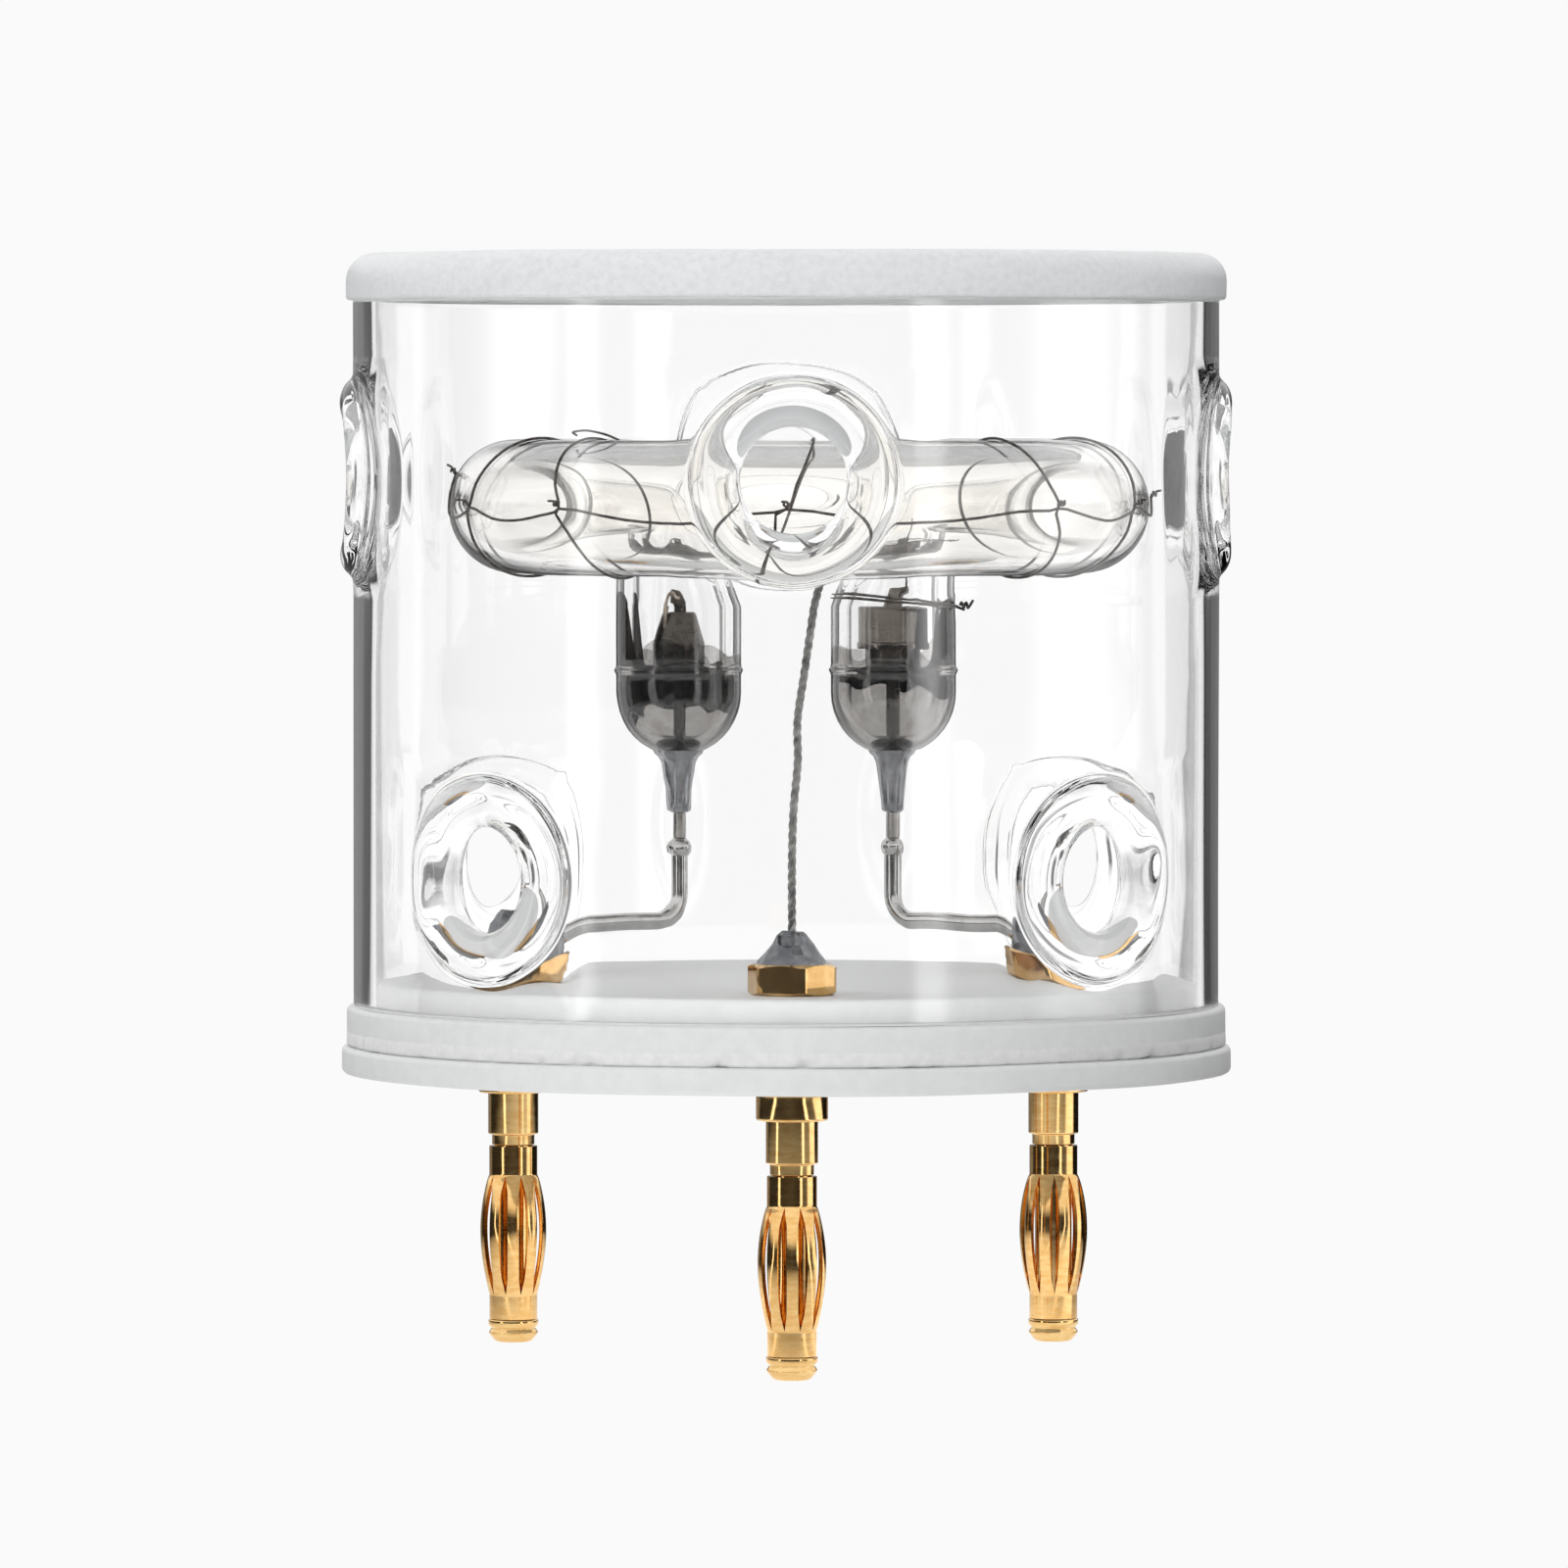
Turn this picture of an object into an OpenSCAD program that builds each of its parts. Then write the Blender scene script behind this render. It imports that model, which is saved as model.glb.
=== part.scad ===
// Plug-in ring flash tube unit: a ring-shaped discharge tube in a vented clear glass
// cylinder, on a two-part ceramic base with three gold spring plugs.
// Origin: centre of the underside of the base. +Z is up, the front plug is at -Y.

/* [Base] */
// Outside diameter of the lower ceramic disc
flange_d = 62; // [58:1:80]
// Thickness of the lower ceramic disc
flange_h = 1.9; // [1.5:0.1:4]
// Thickness of the cement layer between the two discs
seam_h = 1.0; // [0.6:0.1:1.5]
// Thickness of the upper disc at the ledge that carries the glass
ledge_h = 1.8; // [1.2:0.1:4]
// Height of the raised boss above the ledge
boss_h = 1.8; // [1:0.1:4]
// How far the upper disc stays back from the edge of the lower one
disc_step = 0.35; // [0.2:0.05:0.8]
// Radius on the outer edges of both discs
disc_edge_r = 0.4; // [0.1:0.05:0.5]

/* [Glass cylinder] */
// Outside diameter of the clear cylinder
glass_d = 60.4; // [56.4:0.2:61]
// Wall thickness of the clear cylinder
glass_wall = 1.7; // [1.2:0.1:2.2]
// Height of the clear cylinder
glass_h = 48.85; // [46:0.05:65]
// Radial gap between the boss and the inside of the cylinder
glass_gap = 0.15; // [0.1:0.05:0.6]
// Thickness of the cement under and over the cylinder
glass_cement_h = 0.15; // [0.1:0.05:0.5]

/* [Vents] */
// Clear diameter of a vent
vent_d = 7.25; // [5:0.25:8]
// Section diameter of the thick glass bead round a vent
bead_d = 3.55; // [2.6:0.05:3.8]
// Height of the upper row of vents above the underside of the base
upper_vent_z = 41.5; // [36:0.5:44]
// Height of the lower row of vents above the underside of the base
lower_vent_z = 14.25; // [14.25:0.25:20]
// Number of vents in each row
vents_per_row = 4; // [2:1:4]

/* [Cap] */
// Outside diameter of the cap
cap_d = 61.4; // [60.4:0.2:66]
// Thickness of the cap
cap_h = 3.25; // [2.5:0.05:6]
// Radius of the cap's upper edge
cap_edge_r = 1.9; // [0.5:0.1:1.9]
// Radius of the cap's lower edge
cap_lip_r = 0.3; // [0.1:0.05:0.5]

/* [Flash tube] */
// Outside diameter of the ring tube
tube_d = 9.3; // [7.5:0.1:9.6]
// Outside diameter of the elbows and legs
leg_d = 9.0; // [7.2:0.1:9.2]
// Wall thickness of the glass tube
tube_wall = 1.1; // [0.8:0.05:1.3]
// Radius of the ring, to the middle of the tube
ring_r = 19.8; // [18:0.1:20.5]
// Height of the ring's mid-plane above the underside of the base
ring_z = 39.5; // [36:0.1:44]
// How far the ring stands off the unit's axis, towards +X
ring_shift = 0.9; // [0:0.1:1]
// Bend radius of the elbows between the ring and its legs
elbow_r = 5.2; // [5:0.1:5.6]
// Angle of the left leg from the back of the unit
left_leg_angle = 24; // [20:0.5:30]
// Angle of the right leg from the back of the unit
right_leg_angle = 20.5; // [20:0.5:30]
// Height of the lowest point of the legs above the underside of the base
leg_z = 21.5; // [21:0.1:24]

/* [Seals and electrodes] */
// Diameter of the electrode pin that passes through the glass
pin_d = 1.0; // [0.8:0.1:1.3]
// Diameter of the glass seal where it leaves the leg
seal_d = 2.5; // [2:0.1:4]
// Diameter of the glass seal at its lower end
seal_tip_d = 1.75; // [1.6:0.05:2]
// Length of the glass seal under the leg
seal_h = 4.05; // [3:0.05:4.5]
// Diameter of the anode block
anode_d = 3.7; // [3:0.1:4.6]
// Height of the anode block
anode_h = 3.8; // [2:0.1:5]
// Diameter of the cathode cup
cup_d = 5.0; // [4:0.1:5.2]
// Depth of the cathode cup
cup_h = 2.5; // [1.5:0.1:3]
// Wall thickness of the cathode cup
cup_wall = 0.35; // [0.3:0.05:0.6]

/* [Leads] */
// Diameter of the nickel leads
lead_d = 1.25; // [0.8:0.05:1.5]
// Height of the horizontal run of the leads above the underside of the base
lead_z = 9.75; // [9.6:0.05:10]
// Bend radius of the leads
lead_bend_r = 1.9; // [1.6:0.1:2.5]
// Diameter of the weld bead between a lead and its pin
weld_d = 1.75; // [1.5:0.05:2.4]
// Diameter of the stranded trigger lead
strand_d = 0.5; // [0.4:0.05:0.7]
// Diameter of the trigger wire round the ring
trigger_d = 0.2; // [0.15:0.05:0.3]

/* [Plugs] */
// Diameter of the circle that the three plugs stand on
plug_circle_d = 44.2; // [40:0.2:46]
// Diameter of the plug's shoulder under the base
collar_d = 4.9; // [4.85:0.05:6]
// Height of the plug's shoulder
collar_h = 2.1; // [1.5:0.1:3]
// Diameter of the solid barrel above the spring
barrel_d = 3.55; // [3.4:0.05:4]
// Height of the solid barrel
barrel_h = 2.95; // [2:0.05:6]
// Diameter of the plug at the groove under the barrel
groove_d = 3.0; // [2.9:0.05:3.2]
// Width of that groove
groove_h = 0.8; // [0.5:0.1:1.5]
// Diameter of the core pin inside the spring cage
core_d = 2.6; // [2:0.1:2.7]
// Diameter of the rounded tip
tip_d = 3.55; // [3.4:0.05:3.8]
// Height of the rounded tip
tip_h = 1.6; // [1:0.1:2.5]
// Diameter of the threaded stud
stud_d = 3.0; // [2.5:0.1:3.2]

/* [Spring cages] */
// Outside diameter of the cage's end bands
band_d = 3.4; // [3.3:0.05:3.5]
// Height of the cage's upper band
upper_band_h = 2.05; // [1:0.05:3]
// Height of the cage's lower band
lower_band_h = 1.75; // [1:0.05:3]
// Height of the sprung part between the bands
spring_h = 8.45; // [6:0.05:10]
// Diameter across the leaves at their widest, with the plug free
belly_d = 4.8; // [4.4:0.05:4.8]
// Thickness of the leaves
leaf_t = 0.28; // [0.2:0.01:0.3]
// Number of leaves
leaves = 10; // [8:1:12]
// Width of a leaf
leaf_w = 0.8; // [0.6:0.05:0.85]
// Radial clearance of the cage on its core
cage_clearance = 0.05; // [0.02:0.01:0.08]
// Gap at each end of the cage
cage_end_gap = 0.05; // [0.03:0.01:0.1]

/* [Terminals] */
// Width across flats of the brass nuts
nut_flats = 5.5; // [5:0.1:7]
// Height of the brass nuts
nut_h = 2.1; // [1.6:0.1:3]
// Angle by which each nut is turned
nut_turn = 13; // [0:1:59]
// Radial clearance of a nut and of the base on the stud
stud_clearance = 0.1; // [0.02:0.01:0.2]
// Diameter of the solder cone at the nut
solder_d = 4.4; // [4:0.1:5]
// Diameter of the solder cone's top
solder_top_d = 2.3; // [2.2:0.1:3]
// Height of the solder cone above the nut
solder_h = 2.2; // [2:0.1:3]

/* [Hidden] */
$fn = 72;
eps = 0.01;

// Azimuths are measured from the front (-Y), positive towards +X.
FRONT = 0;
RIGHT = 120;
LEFT = -120;
PLUG_AZIMUTHS = [FRONT, RIGHT, LEFT];

flange_r = flange_d / 2;
disc_r = flange_r - disc_step;
glass_r = glass_d / 2;
glass_in_r = glass_r - glass_wall;
boss_r = glass_in_r - glass_gap;
seam_z = flange_h;
disc_z = seam_z + seam_h;
ledge_z = disc_z + ledge_h;
boss_z = ledge_z + boss_h;
glass_z = ledge_z + glass_cement_h;
glass_top_z = glass_z + glass_h;
cap_z = glass_top_z + glass_cement_h;

vent_r = vent_d / 2;
bead_r = bead_d / 2;
wall_mid_r = glass_r - glass_wall / 2;
vent_ring_r = vent_r + bead_r;
vent_cut_r = vent_r + bead_r / 2;

tube_r = tube_d / 2;
tube_in_r = tube_r - tube_wall;
leg_r = leg_d / 2;
leg_in_r = leg_r - tube_wall;
leg_reach = sqrt(ring_r * ring_r + elbow_r * elbow_r);
elbow_angle = atan(elbow_r / ring_r);
leg_ball_z = leg_z + leg_r;

pin_r = pin_d / 2;
seal_z = leg_z - seal_h;
weld_h = 1.3;
pin_end_z = seal_z - 1.8;
weld_z = pin_end_z - weld_h;
anode_z = leg_z + 6.4;
anode_tip_h = 1.8;
sleeve_d = cup_d - 1;
sleeve_z = leg_z + 5.7;
sleeve_h = 1.9;
cup_band_h = 0.5;
cup_band_d = cup_d + 0.2;
cup_z = sleeve_z + sleeve_h + cup_band_h;
cathode_core_d = 1.4;
cathode_core_h = cup_h + 1.9;

plug_r = plug_circle_d / 2;
barrel_z = -collar_h - barrel_h;
groove_z = barrel_z - groove_h;
cage_z = groove_z - cage_end_gap;
band_z = cage_z - upper_band_h;
spring_z = band_z - spring_h;
cage_low_z = spring_z - lower_band_h;
tip_z = cage_low_z - cage_end_gap;
plug_z = tip_z - tip_h;
cage_in_r = core_d / 2 + cage_clearance;

nut_z = boss_z;
nut_top_z = nut_z + nut_h;
nut_chamfer = 0.4;
stud_top_z = nut_top_z + 0.4;
solder_z = nut_top_z;
solder_top_z = solder_z + solder_h;

strand_r = strand_d / 2;
trigger_r = trigger_d / 2;
turn_steps = 18;
trigger_rest = (tube_r + trigger_r + 0.04) / cos(180 / turn_steps);

// Route of the trigger lead: from the front solder cone up to the front of the ring.
// Each point is the share of the way up, the sideways offset and the bow off the straight line.
lead_route = [[0, 0, 0], [0.08, 0, 0], [0.2, 0, 0.1], [0.36, 0.1, 0.2], [0.5, 0.4, 0.2],
    [0.62, 0.4, 0.2], [0.76, 0.9, 0.1], [0.9, 1.4, 0], [1, 1.8, 0]];

// Trigger wire: azimuths of its single turns round the tube, and of its two ends.
wrap_angles = [-66, -41, -2, 45, 68];
wire_ends = [-84, 84];
turn_pitch = 3;
leg_loop_tilt = 8;

// Point at an azimuth and a radius, at a height.
function around(azimuth, r, z = 0) = [r * sin(azimuth), -r * cos(azimuth), z];
function unit(v) = v / norm(v);
function leg_angle(side) = side < 0 ? left_leg_angle : right_leg_angle;
function leg_place(side) = [ring_shift + side * leg_reach * sin(leg_angle(side)),
    leg_reach * cos(leg_angle(side)), 0];

// Point on the outside of the ring tube: azimuth, then angle round the tube from its outer side.
function on_ring(azimuth, turn) =
    around(azimuth, ring_r + trigger_rest * cos(turn), ring_z + trigger_rest * sin(turn))
    + [ring_shift, 0, 0];
function ring_core(azimuth) = around(azimuth, ring_r, ring_z) + [ring_shift, 0, 0];

// Round wire swept along points; away[i] points out of the bend at points[i].
module swept_wire(points, away, r, sides = 8) {
    last = len(points) - 1;
    ways = [for (i = [0 : last]) unit(points[min(i + 1, last)] - points[max(i - 1, 0)])];
    outs = [for (i = [0 : last]) unit(away[i] - (away[i] * ways[i]) * ways[i])];
    skin = [for (i = [0 : last], k = [0 : sides - 1])
        points[i] + r * (cos(360 * k / sides) * outs[i]
            + sin(360 * k / sides) * cross(ways[i], outs[i]))];
    walls = [for (i = [0 : last - 1], k = [0 : sides - 1])
        let (a = i * sides + k, b = i * sides + (k + 1) % sides)
        [a, a + sides, b + sides, b]];
    ends = [[for (k = [0 : sides - 1]) k],
        [for (k = [sides - 1 : -1 : 0]) last * sides + k]];
    polyhedron(points = skin, faces = concat(walls, ends), convexity = 10);
}

// Half section of a disc with rounded outer edges.
module disc_section(r, low, high, low_edge, high_edge) {
    translate([0, low + low_edge]) square([r, high - low - low_edge - high_edge]);
    translate([0, low]) square([r - low_edge, low_edge]);
    translate([0, high - high_edge]) square([r - high_edge, high_edge]);
    translate([r - low_edge, low + low_edge]) mirror([0, 1]) quarter(low_edge);
    translate([r - high_edge, high - high_edge]) quarter(high_edge);
}

module quarter(r) {
    intersection() {
        circle(r);
        square(r);
    }
}

// Three holes for the studs, cut right through.
module stud_holes() {
    for (azimuth = PLUG_AZIMUTHS)
        translate(around(azimuth, plug_r, -eps))
            cylinder(h = boss_z + 2 * eps, d = stud_d + 2 * stud_clearance);
}

module base_flange() {
    color("gainsboro") difference() {
        rotate_extrude() disc_section(flange_r, 0, flange_h, disc_edge_r, disc_edge_r);
        stud_holes();
    }
}

module base_cement() {
    color("whitesmoke") difference() {
        rotate_extrude() disc_section(disc_r, seam_z, disc_z, seam_h / 3, seam_h / 3);
        stud_holes();
    }
}

module base_boss() {
    color("gainsboro") difference() {
        rotate_extrude() {
            disc_section(disc_r, disc_z, ledge_z, disc_edge_r, disc_edge_r);
            disc_section(boss_r, disc_z, boss_z, disc_edge_r / 2, disc_edge_r / 2);
        }
        stud_holes();
    }
}

// Thin ring of cement at one end of the glass cylinder.
module glass_cement(z) {
    color("white") translate([0, 0, z]) difference() {
        cylinder(h = glass_cement_h, r = glass_r);
        translate([0, 0, -eps]) cylinder(h = glass_cement_h + 2 * eps, r = glass_in_r);
    }
}

module foot_cement() { glass_cement(ledge_z); }
module cap_cement() { glass_cement(glass_top_z); }

// Turns a shape made along +Z so that it points outwards at an azimuth and a height.
module at_vent(azimuth, z) {
    translate([0, 0, z]) rotate([90, 0, azimuth]) children();
}

module each_vent() {
    for (i = [0 : vents_per_row - 1]) {
        at_vent(i * 360 / vents_per_row, upper_vent_z) children();
        at_vent((i + 0.5) * 360 / vents_per_row, lower_vent_z) children();
    }
}

module glass_cylinder() {
    color("azure", 0.35) {
        difference() {
            translate([0, 0, glass_z]) cylinder(h = glass_h, r = glass_r);
            translate([0, 0, glass_z - eps]) cylinder(h = glass_h + 2 * eps, r = glass_in_r);
            each_vent() cylinder(h = glass_r + 1, r = vent_cut_r);
        }
        each_vent() translate([0, 0, wall_mid_r])
            rotate_extrude() translate([vent_ring_r, 0]) circle(bead_r);
    }
}

module top_cap() {
    color("lightgray")
        rotate_extrude() disc_section(cap_d / 2, cap_z, cap_z + cap_h, cap_lip_r, cap_edge_r);
}

// Cross-section of a glass tube's wall.
module tube_section(outer_r) {
    difference() {
        circle(outer_r);
        circle(outer_r - tube_wall);
    }
}

// Half section of a leg: a straight wall over a round bottom, open where the pin passes.
module leg_section() {
    difference() {
        union() {
            translate([pin_r, 0]) square([leg_r - pin_r, ring_z - elbow_r - leg_ball_z]);
            intersection() {
                circle(leg_r);
                translate([pin_r, -leg_r]) square([leg_r, leg_r]);
            }
        }
        square([leg_in_r, ring_z - elbow_r - leg_ball_z]);
        circle(leg_in_r);
    }
}

// One end of the ring: an elbow down into a leg with a round bottom.
module ring_leg(side) {
    mirror([side > 0 ? 1 : 0, 0, 0])
        rotate([0, 0, leg_angle(side) + elbow_angle]) translate([0, ring_r, 0]) {
            translate([0, 0, ring_z - elbow_r]) rotate([90, 0, 0])
                rotate_extrude(angle = 90) translate([elbow_r, 0]) tube_section(leg_r);
            translate([elbow_r, 0, leg_ball_z]) rotate_extrude() leg_section();
        }
}

module flash_tube() {
    left_end = left_leg_angle + elbow_angle;
    right_end = right_leg_angle + elbow_angle;
    color("cornsilk", 0.5) translate([ring_shift, 0, 0]) {
        translate([0, 0, ring_z]) rotate([0, 0, 90 + left_end])
            rotate_extrude(angle = 360 - left_end - right_end)
                translate([ring_r, 0]) tube_section(tube_r);
        for (side = [-1, 1]) ring_leg(side);
    }
}

// Tapered glass seal under a leg, with the pin's hole through it.
module seal(side) {
    color("gray", 0.7) translate(leg_place(side)) difference() {
        translate([0, 0, seal_z]) cylinder(h = seal_h + tube_wall / 2, d1 = seal_tip_d, d2 = seal_d);
        translate([0, 0, leg_ball_z]) sphere(leg_r);
        translate([0, 0, seal_z - eps]) cylinder(h = seal_h + tube_wall, r = pin_r);
    }
}

module left_seal() { seal(-1); }
module right_seal() { seal(1); }

module anode() {
    color("dimgray") translate(leg_place(-1)) {
        translate([0, 0, pin_end_z]) cylinder(h = anode_z + eps - pin_end_z, r = pin_r);
        translate([0, 0, anode_z]) cylinder(h = anode_h, d = anode_d);
        translate([0, 0, anode_z + anode_h - eps]) cylinder(h = anode_tip_h, r = pin_r);
    }
}

// Small hooked getter wire that stands on the anode block.
module getter() {
    hook_r = 0.5;
    wire_r = 0.15;
    color("silver")
        translate(leg_place(-1) + [-anode_d / 4, -anode_d / 4, anode_z + anode_h]) {
            cylinder(h = 1, r = wire_r);
            translate([hook_r, 0, 1]) rotate([90, 0, 0])
                rotate_extrude(angle = 180) translate([hook_r, 0]) circle(wire_r, $fn = 24);
        }
}

module cathode() {
    color("darkgray") translate(leg_place(1)) {
        translate([0, 0, pin_end_z]) cylinder(h = sleeve_z + eps - pin_end_z, r = pin_r);
        translate([0, 0, sleeve_z]) cylinder(h = sleeve_h + eps, d = sleeve_d);
        translate([0, 0, sleeve_z + sleeve_h]) cylinder(h = cup_band_h + eps, d = cup_band_d);
        difference() {
            translate([0, 0, cup_z]) cylinder(h = cup_h, d = cup_d);
            translate([0, 0, cup_z + cup_wall]) cylinder(h = cup_h, d = cup_d - 2 * cup_wall);
        }
        translate([0, 0, cup_z]) cylinder(h = cathode_core_h, d = cathode_core_d);
    }
}

// Nickel lead: weld bead under the pin, bend, and a run to its terminal.
module lead(side, azimuth) {
    start = leg_place(side);
    way = around(azimuth, plug_r) - start;
    reach = norm(way);
    color("silver") translate(start) {
        translate([0, 0, weld_z]) rotate_extrude()
            disc_section(weld_d / 2, 0, weld_h, weld_h / 4, weld_h / 4);
        rotate([0, 0, atan2(way[1], way[0])]) {
            translate([0, 0, lead_z + lead_bend_r])
                cylinder(h = weld_z + eps - lead_z - lead_bend_r, d = lead_d);
            translate([lead_bend_r, 0, lead_z + lead_bend_r]) rotate([90, 180, 0])
                rotate_extrude(angle = 90) translate([lead_bend_r, 0]) circle(d = lead_d);
            lead_run(reach);
        }
    }
}

// The straight horizontal run of a lead, from its bend to just past the terminal's axis.
module lead_run(reach) {
    translate([lead_bend_r, 0, lead_z]) rotate([0, 90, 0])
        cylinder(h = reach - lead_bend_r + lead_d / 2, d = lead_d);
}

module left_lead() { lead(-1, LEFT); }
module right_lead() { lead(1, RIGHT); }

// Trigger wire: one wire with single turns round the ring, and a loop round the right leg.
module trigger_wire() {
    turn_points = [for (i = [0 : len(wrap_angles) - 1], k = [0 : turn_steps])
        [wrap_angles[i] + turn_pitch * (k / turn_steps - 0.5), 360 * k / turn_steps]];
    places = concat([[wire_ends[0], 0], [wire_ends[0] / 2 + wrap_angles[0] / 2, 0]],
        turn_points, [[wire_ends[1] / 2 + wrap_angles[len(wrap_angles) - 1] / 2, 0],
        [wire_ends[1], 0]]);
    route = [for (i = [0 : len(places) - 2]) let (a = places[i], b = places[i + 1],
        n = b[0] - a[0] > 4 ? ceil((b[0] - a[0]) / 4) : 1)
        for (j = [0 : n - 1]) [a[0] + (b[0] - a[0]) * j / n, n > 1 ? 0 : a[1]]];
    points = [for (p = concat(route, [places[len(places) - 1]])) on_ring(p[0], p[1])];
    away = [for (p = concat(route, [places[len(places) - 1]]))
        on_ring(p[0], p[1]) - ring_core(p[0])];
    color("dimgray") {
        swept_wire(points, away, trigger_r);
        translate(leg_place(1) + [0, 0, ring_z - elbow_r - leg_r / 3])
            rotate([0, leg_loop_tilt, 0]) rotate_extrude()
                translate([leg_r / cos(leg_loop_tilt) + 2 * trigger_r, 0])
                    circle(trigger_r, $fn = 24);
    }
}

// Stranded lead that feeds the trigger wire.
module trigger_lead() {
    start = around(FRONT, plug_r, solder_top_z - 0.8);
    finish = [0, -ring_r - 0.6, ring_z - tube_r - strand_r - 0.1];
    points = [for (p = lead_route) start + p[0] * (finish - start) + [p[1], p[2], 0]];
    color("gray") swept_wire(points, [for (p = lead_route) [0, -1, 0]], strand_r);
}

// Turned plug: threaded stud, shoulder, barrel, groove, core pin and rounded tip.
module plug(azimuth) {
    color("goldenrod") translate(around(azimuth, plug_r)) {
        translate([0, 0, -eps]) cylinder(h = stud_top_z + eps, d = stud_d);
        translate([0, 0, -collar_h]) cylinder(h = collar_h, d = collar_d);
        translate([0, 0, barrel_z]) cylinder(h = barrel_h + eps, d = barrel_d);
        translate([0, 0, groove_z]) cylinder(h = groove_h + eps, d = groove_d);
        translate([0, 0, tip_z - eps]) cylinder(h = groove_z - tip_z + 2 * eps, d = core_d);
        rotate_extrude() disc_section(tip_d / 2, plug_z, tip_z, tip_h * 0.45, tip_h * 0.1);
    }
}

module front_plug() { plug(FRONT); }
module left_plug() { plug(LEFT); }
module right_plug() { plug(RIGHT); }

// Lantern spring: two bands joined by bowed leaves, free to turn on the core pin.
// The turn is that of the first leaf from the front. The slots are widest at the belly.
module cage(azimuth, turn) {
    rise = (belly_d - band_d) / 2;
    bow_r = (spring_h * spring_h / 4 + rise * rise) / (2 * rise);
    middle_z = spring_z + spring_h / 2;
    color("gold") translate(around(azimuth, plug_r)) {
        rotate_extrude() {
            translate([cage_in_r, band_z])
                square([band_d / 2 - cage_in_r, upper_band_h]);
            translate([cage_in_r, cage_low_z])
                square([band_d / 2 - cage_in_r, lower_band_h]);
        }
        intersection() {
            rotate_extrude() intersection() {
                translate([cage_in_r, spring_z - eps]) square([belly_d, spring_h + 2 * eps]);
                difference() {
                    translate([belly_d / 2 - bow_r, middle_z]) circle(bow_r);
                    translate([belly_d / 2 - bow_r, middle_z]) circle(bow_r - leaf_t);
                }
            }
            for (i = [0 : leaves - 1]) rotate([0, 0, i * 360 / leaves + turn - 90])
                translate([0, -leaf_w / 2, spring_z - leaf_t])
                    cube([belly_d, leaf_w, spring_h + 2 * leaf_t]);
        }
    }
}

module front_cage() { cage(FRONT, 0); }
module left_cage() { cage(LEFT, 0); }
module right_cage() { cage(RIGHT, 180 / leaves); }

// Hexagon nuts with both faces chamfered.
module terminal_nuts() {
    corner_r = nut_flats / sqrt(3);
    color("darkgoldenrod") for (azimuth = PLUG_AZIMUTHS)
        translate(around(azimuth, plug_r, nut_z)) difference() {
            intersection() {
                rotate([0, 0, nut_turn - 90]) cylinder(h = nut_h, r = corner_r, $fn = 6);
                rotate_extrude() polygon([[0, 0], [corner_r - nut_chamfer, 0],
                    [corner_r, nut_chamfer / 2], [corner_r, nut_h - nut_chamfer / 2],
                    [corner_r - nut_chamfer, nut_h], [0, nut_h]]);
            }
            translate([0, 0, -eps])
                cylinder(h = nut_h + 2 * eps, d = stud_d + 2 * stud_clearance);
        }
}

// Cone of solder over the nut and the end of the stud.
module solder_cone(azimuth) {
    translate(around(azimuth, plug_r)) difference() {
        translate([0, 0, solder_z]) cylinder(h = solder_h, d1 = solder_d, d2 = solder_top_d);
        translate([0, 0, solder_z - eps]) cylinder(h = stud_top_z - solder_z + eps, d = stud_d);
    }
}

module front_solder() { color("silver") solder_cone(FRONT); }

// Solder cone of a main terminal, closed round the end of its lead.
module lead_solder(side, azimuth) {
    start = leg_place(side);
    way = around(azimuth, plug_r) - start;
    color("silver") difference() {
        solder_cone(azimuth);
        translate(start) rotate([0, 0, atan2(way[1], way[0])]) lead_run(norm(way));
    }
}

module left_solder() { lead_solder(-1, LEFT); }
module right_solder() { lead_solder(1, RIGHT); }

base_flange();
base_cement();
base_boss();
foot_cement();
glass_cylinder();
cap_cement();
top_cap();
flash_tube();
left_seal();
right_seal();
anode();
getter();
cathode();
left_lead();
right_lead();
trigger_wire();
trigger_lead();
front_plug();
left_plug();
right_plug();
front_cage();
left_cage();
right_cage();
terminal_nuts();
front_solder();
left_solder();
right_solder();
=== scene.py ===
"""Ring flash tube unit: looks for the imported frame. Lengths are in millimetres until a mesh is made."""

import math

import bmesh
import bpy
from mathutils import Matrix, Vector, noise


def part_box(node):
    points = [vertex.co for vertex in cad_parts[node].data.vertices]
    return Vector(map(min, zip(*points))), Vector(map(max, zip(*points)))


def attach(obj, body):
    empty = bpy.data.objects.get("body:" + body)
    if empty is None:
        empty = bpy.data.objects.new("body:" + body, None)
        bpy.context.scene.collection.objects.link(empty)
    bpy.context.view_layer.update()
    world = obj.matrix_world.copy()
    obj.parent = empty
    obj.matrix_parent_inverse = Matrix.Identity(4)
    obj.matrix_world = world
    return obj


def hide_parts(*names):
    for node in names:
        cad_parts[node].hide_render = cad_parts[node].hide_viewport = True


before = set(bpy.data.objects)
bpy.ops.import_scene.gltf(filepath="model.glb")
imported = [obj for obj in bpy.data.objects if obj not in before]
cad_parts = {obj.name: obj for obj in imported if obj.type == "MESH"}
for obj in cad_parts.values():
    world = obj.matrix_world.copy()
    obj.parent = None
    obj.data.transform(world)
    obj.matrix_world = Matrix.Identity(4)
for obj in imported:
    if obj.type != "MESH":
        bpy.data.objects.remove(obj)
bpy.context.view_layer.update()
MM = 0.001
UP = Vector((0, 0, 1))


# ---------------------------------------------------------------- ceramic base
# Two pressed and fired ceramic discs. The lower one carries the plugs, the upper one has a
# ledge for the glass and a raised boss inside it. White cement holds them together.


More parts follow.
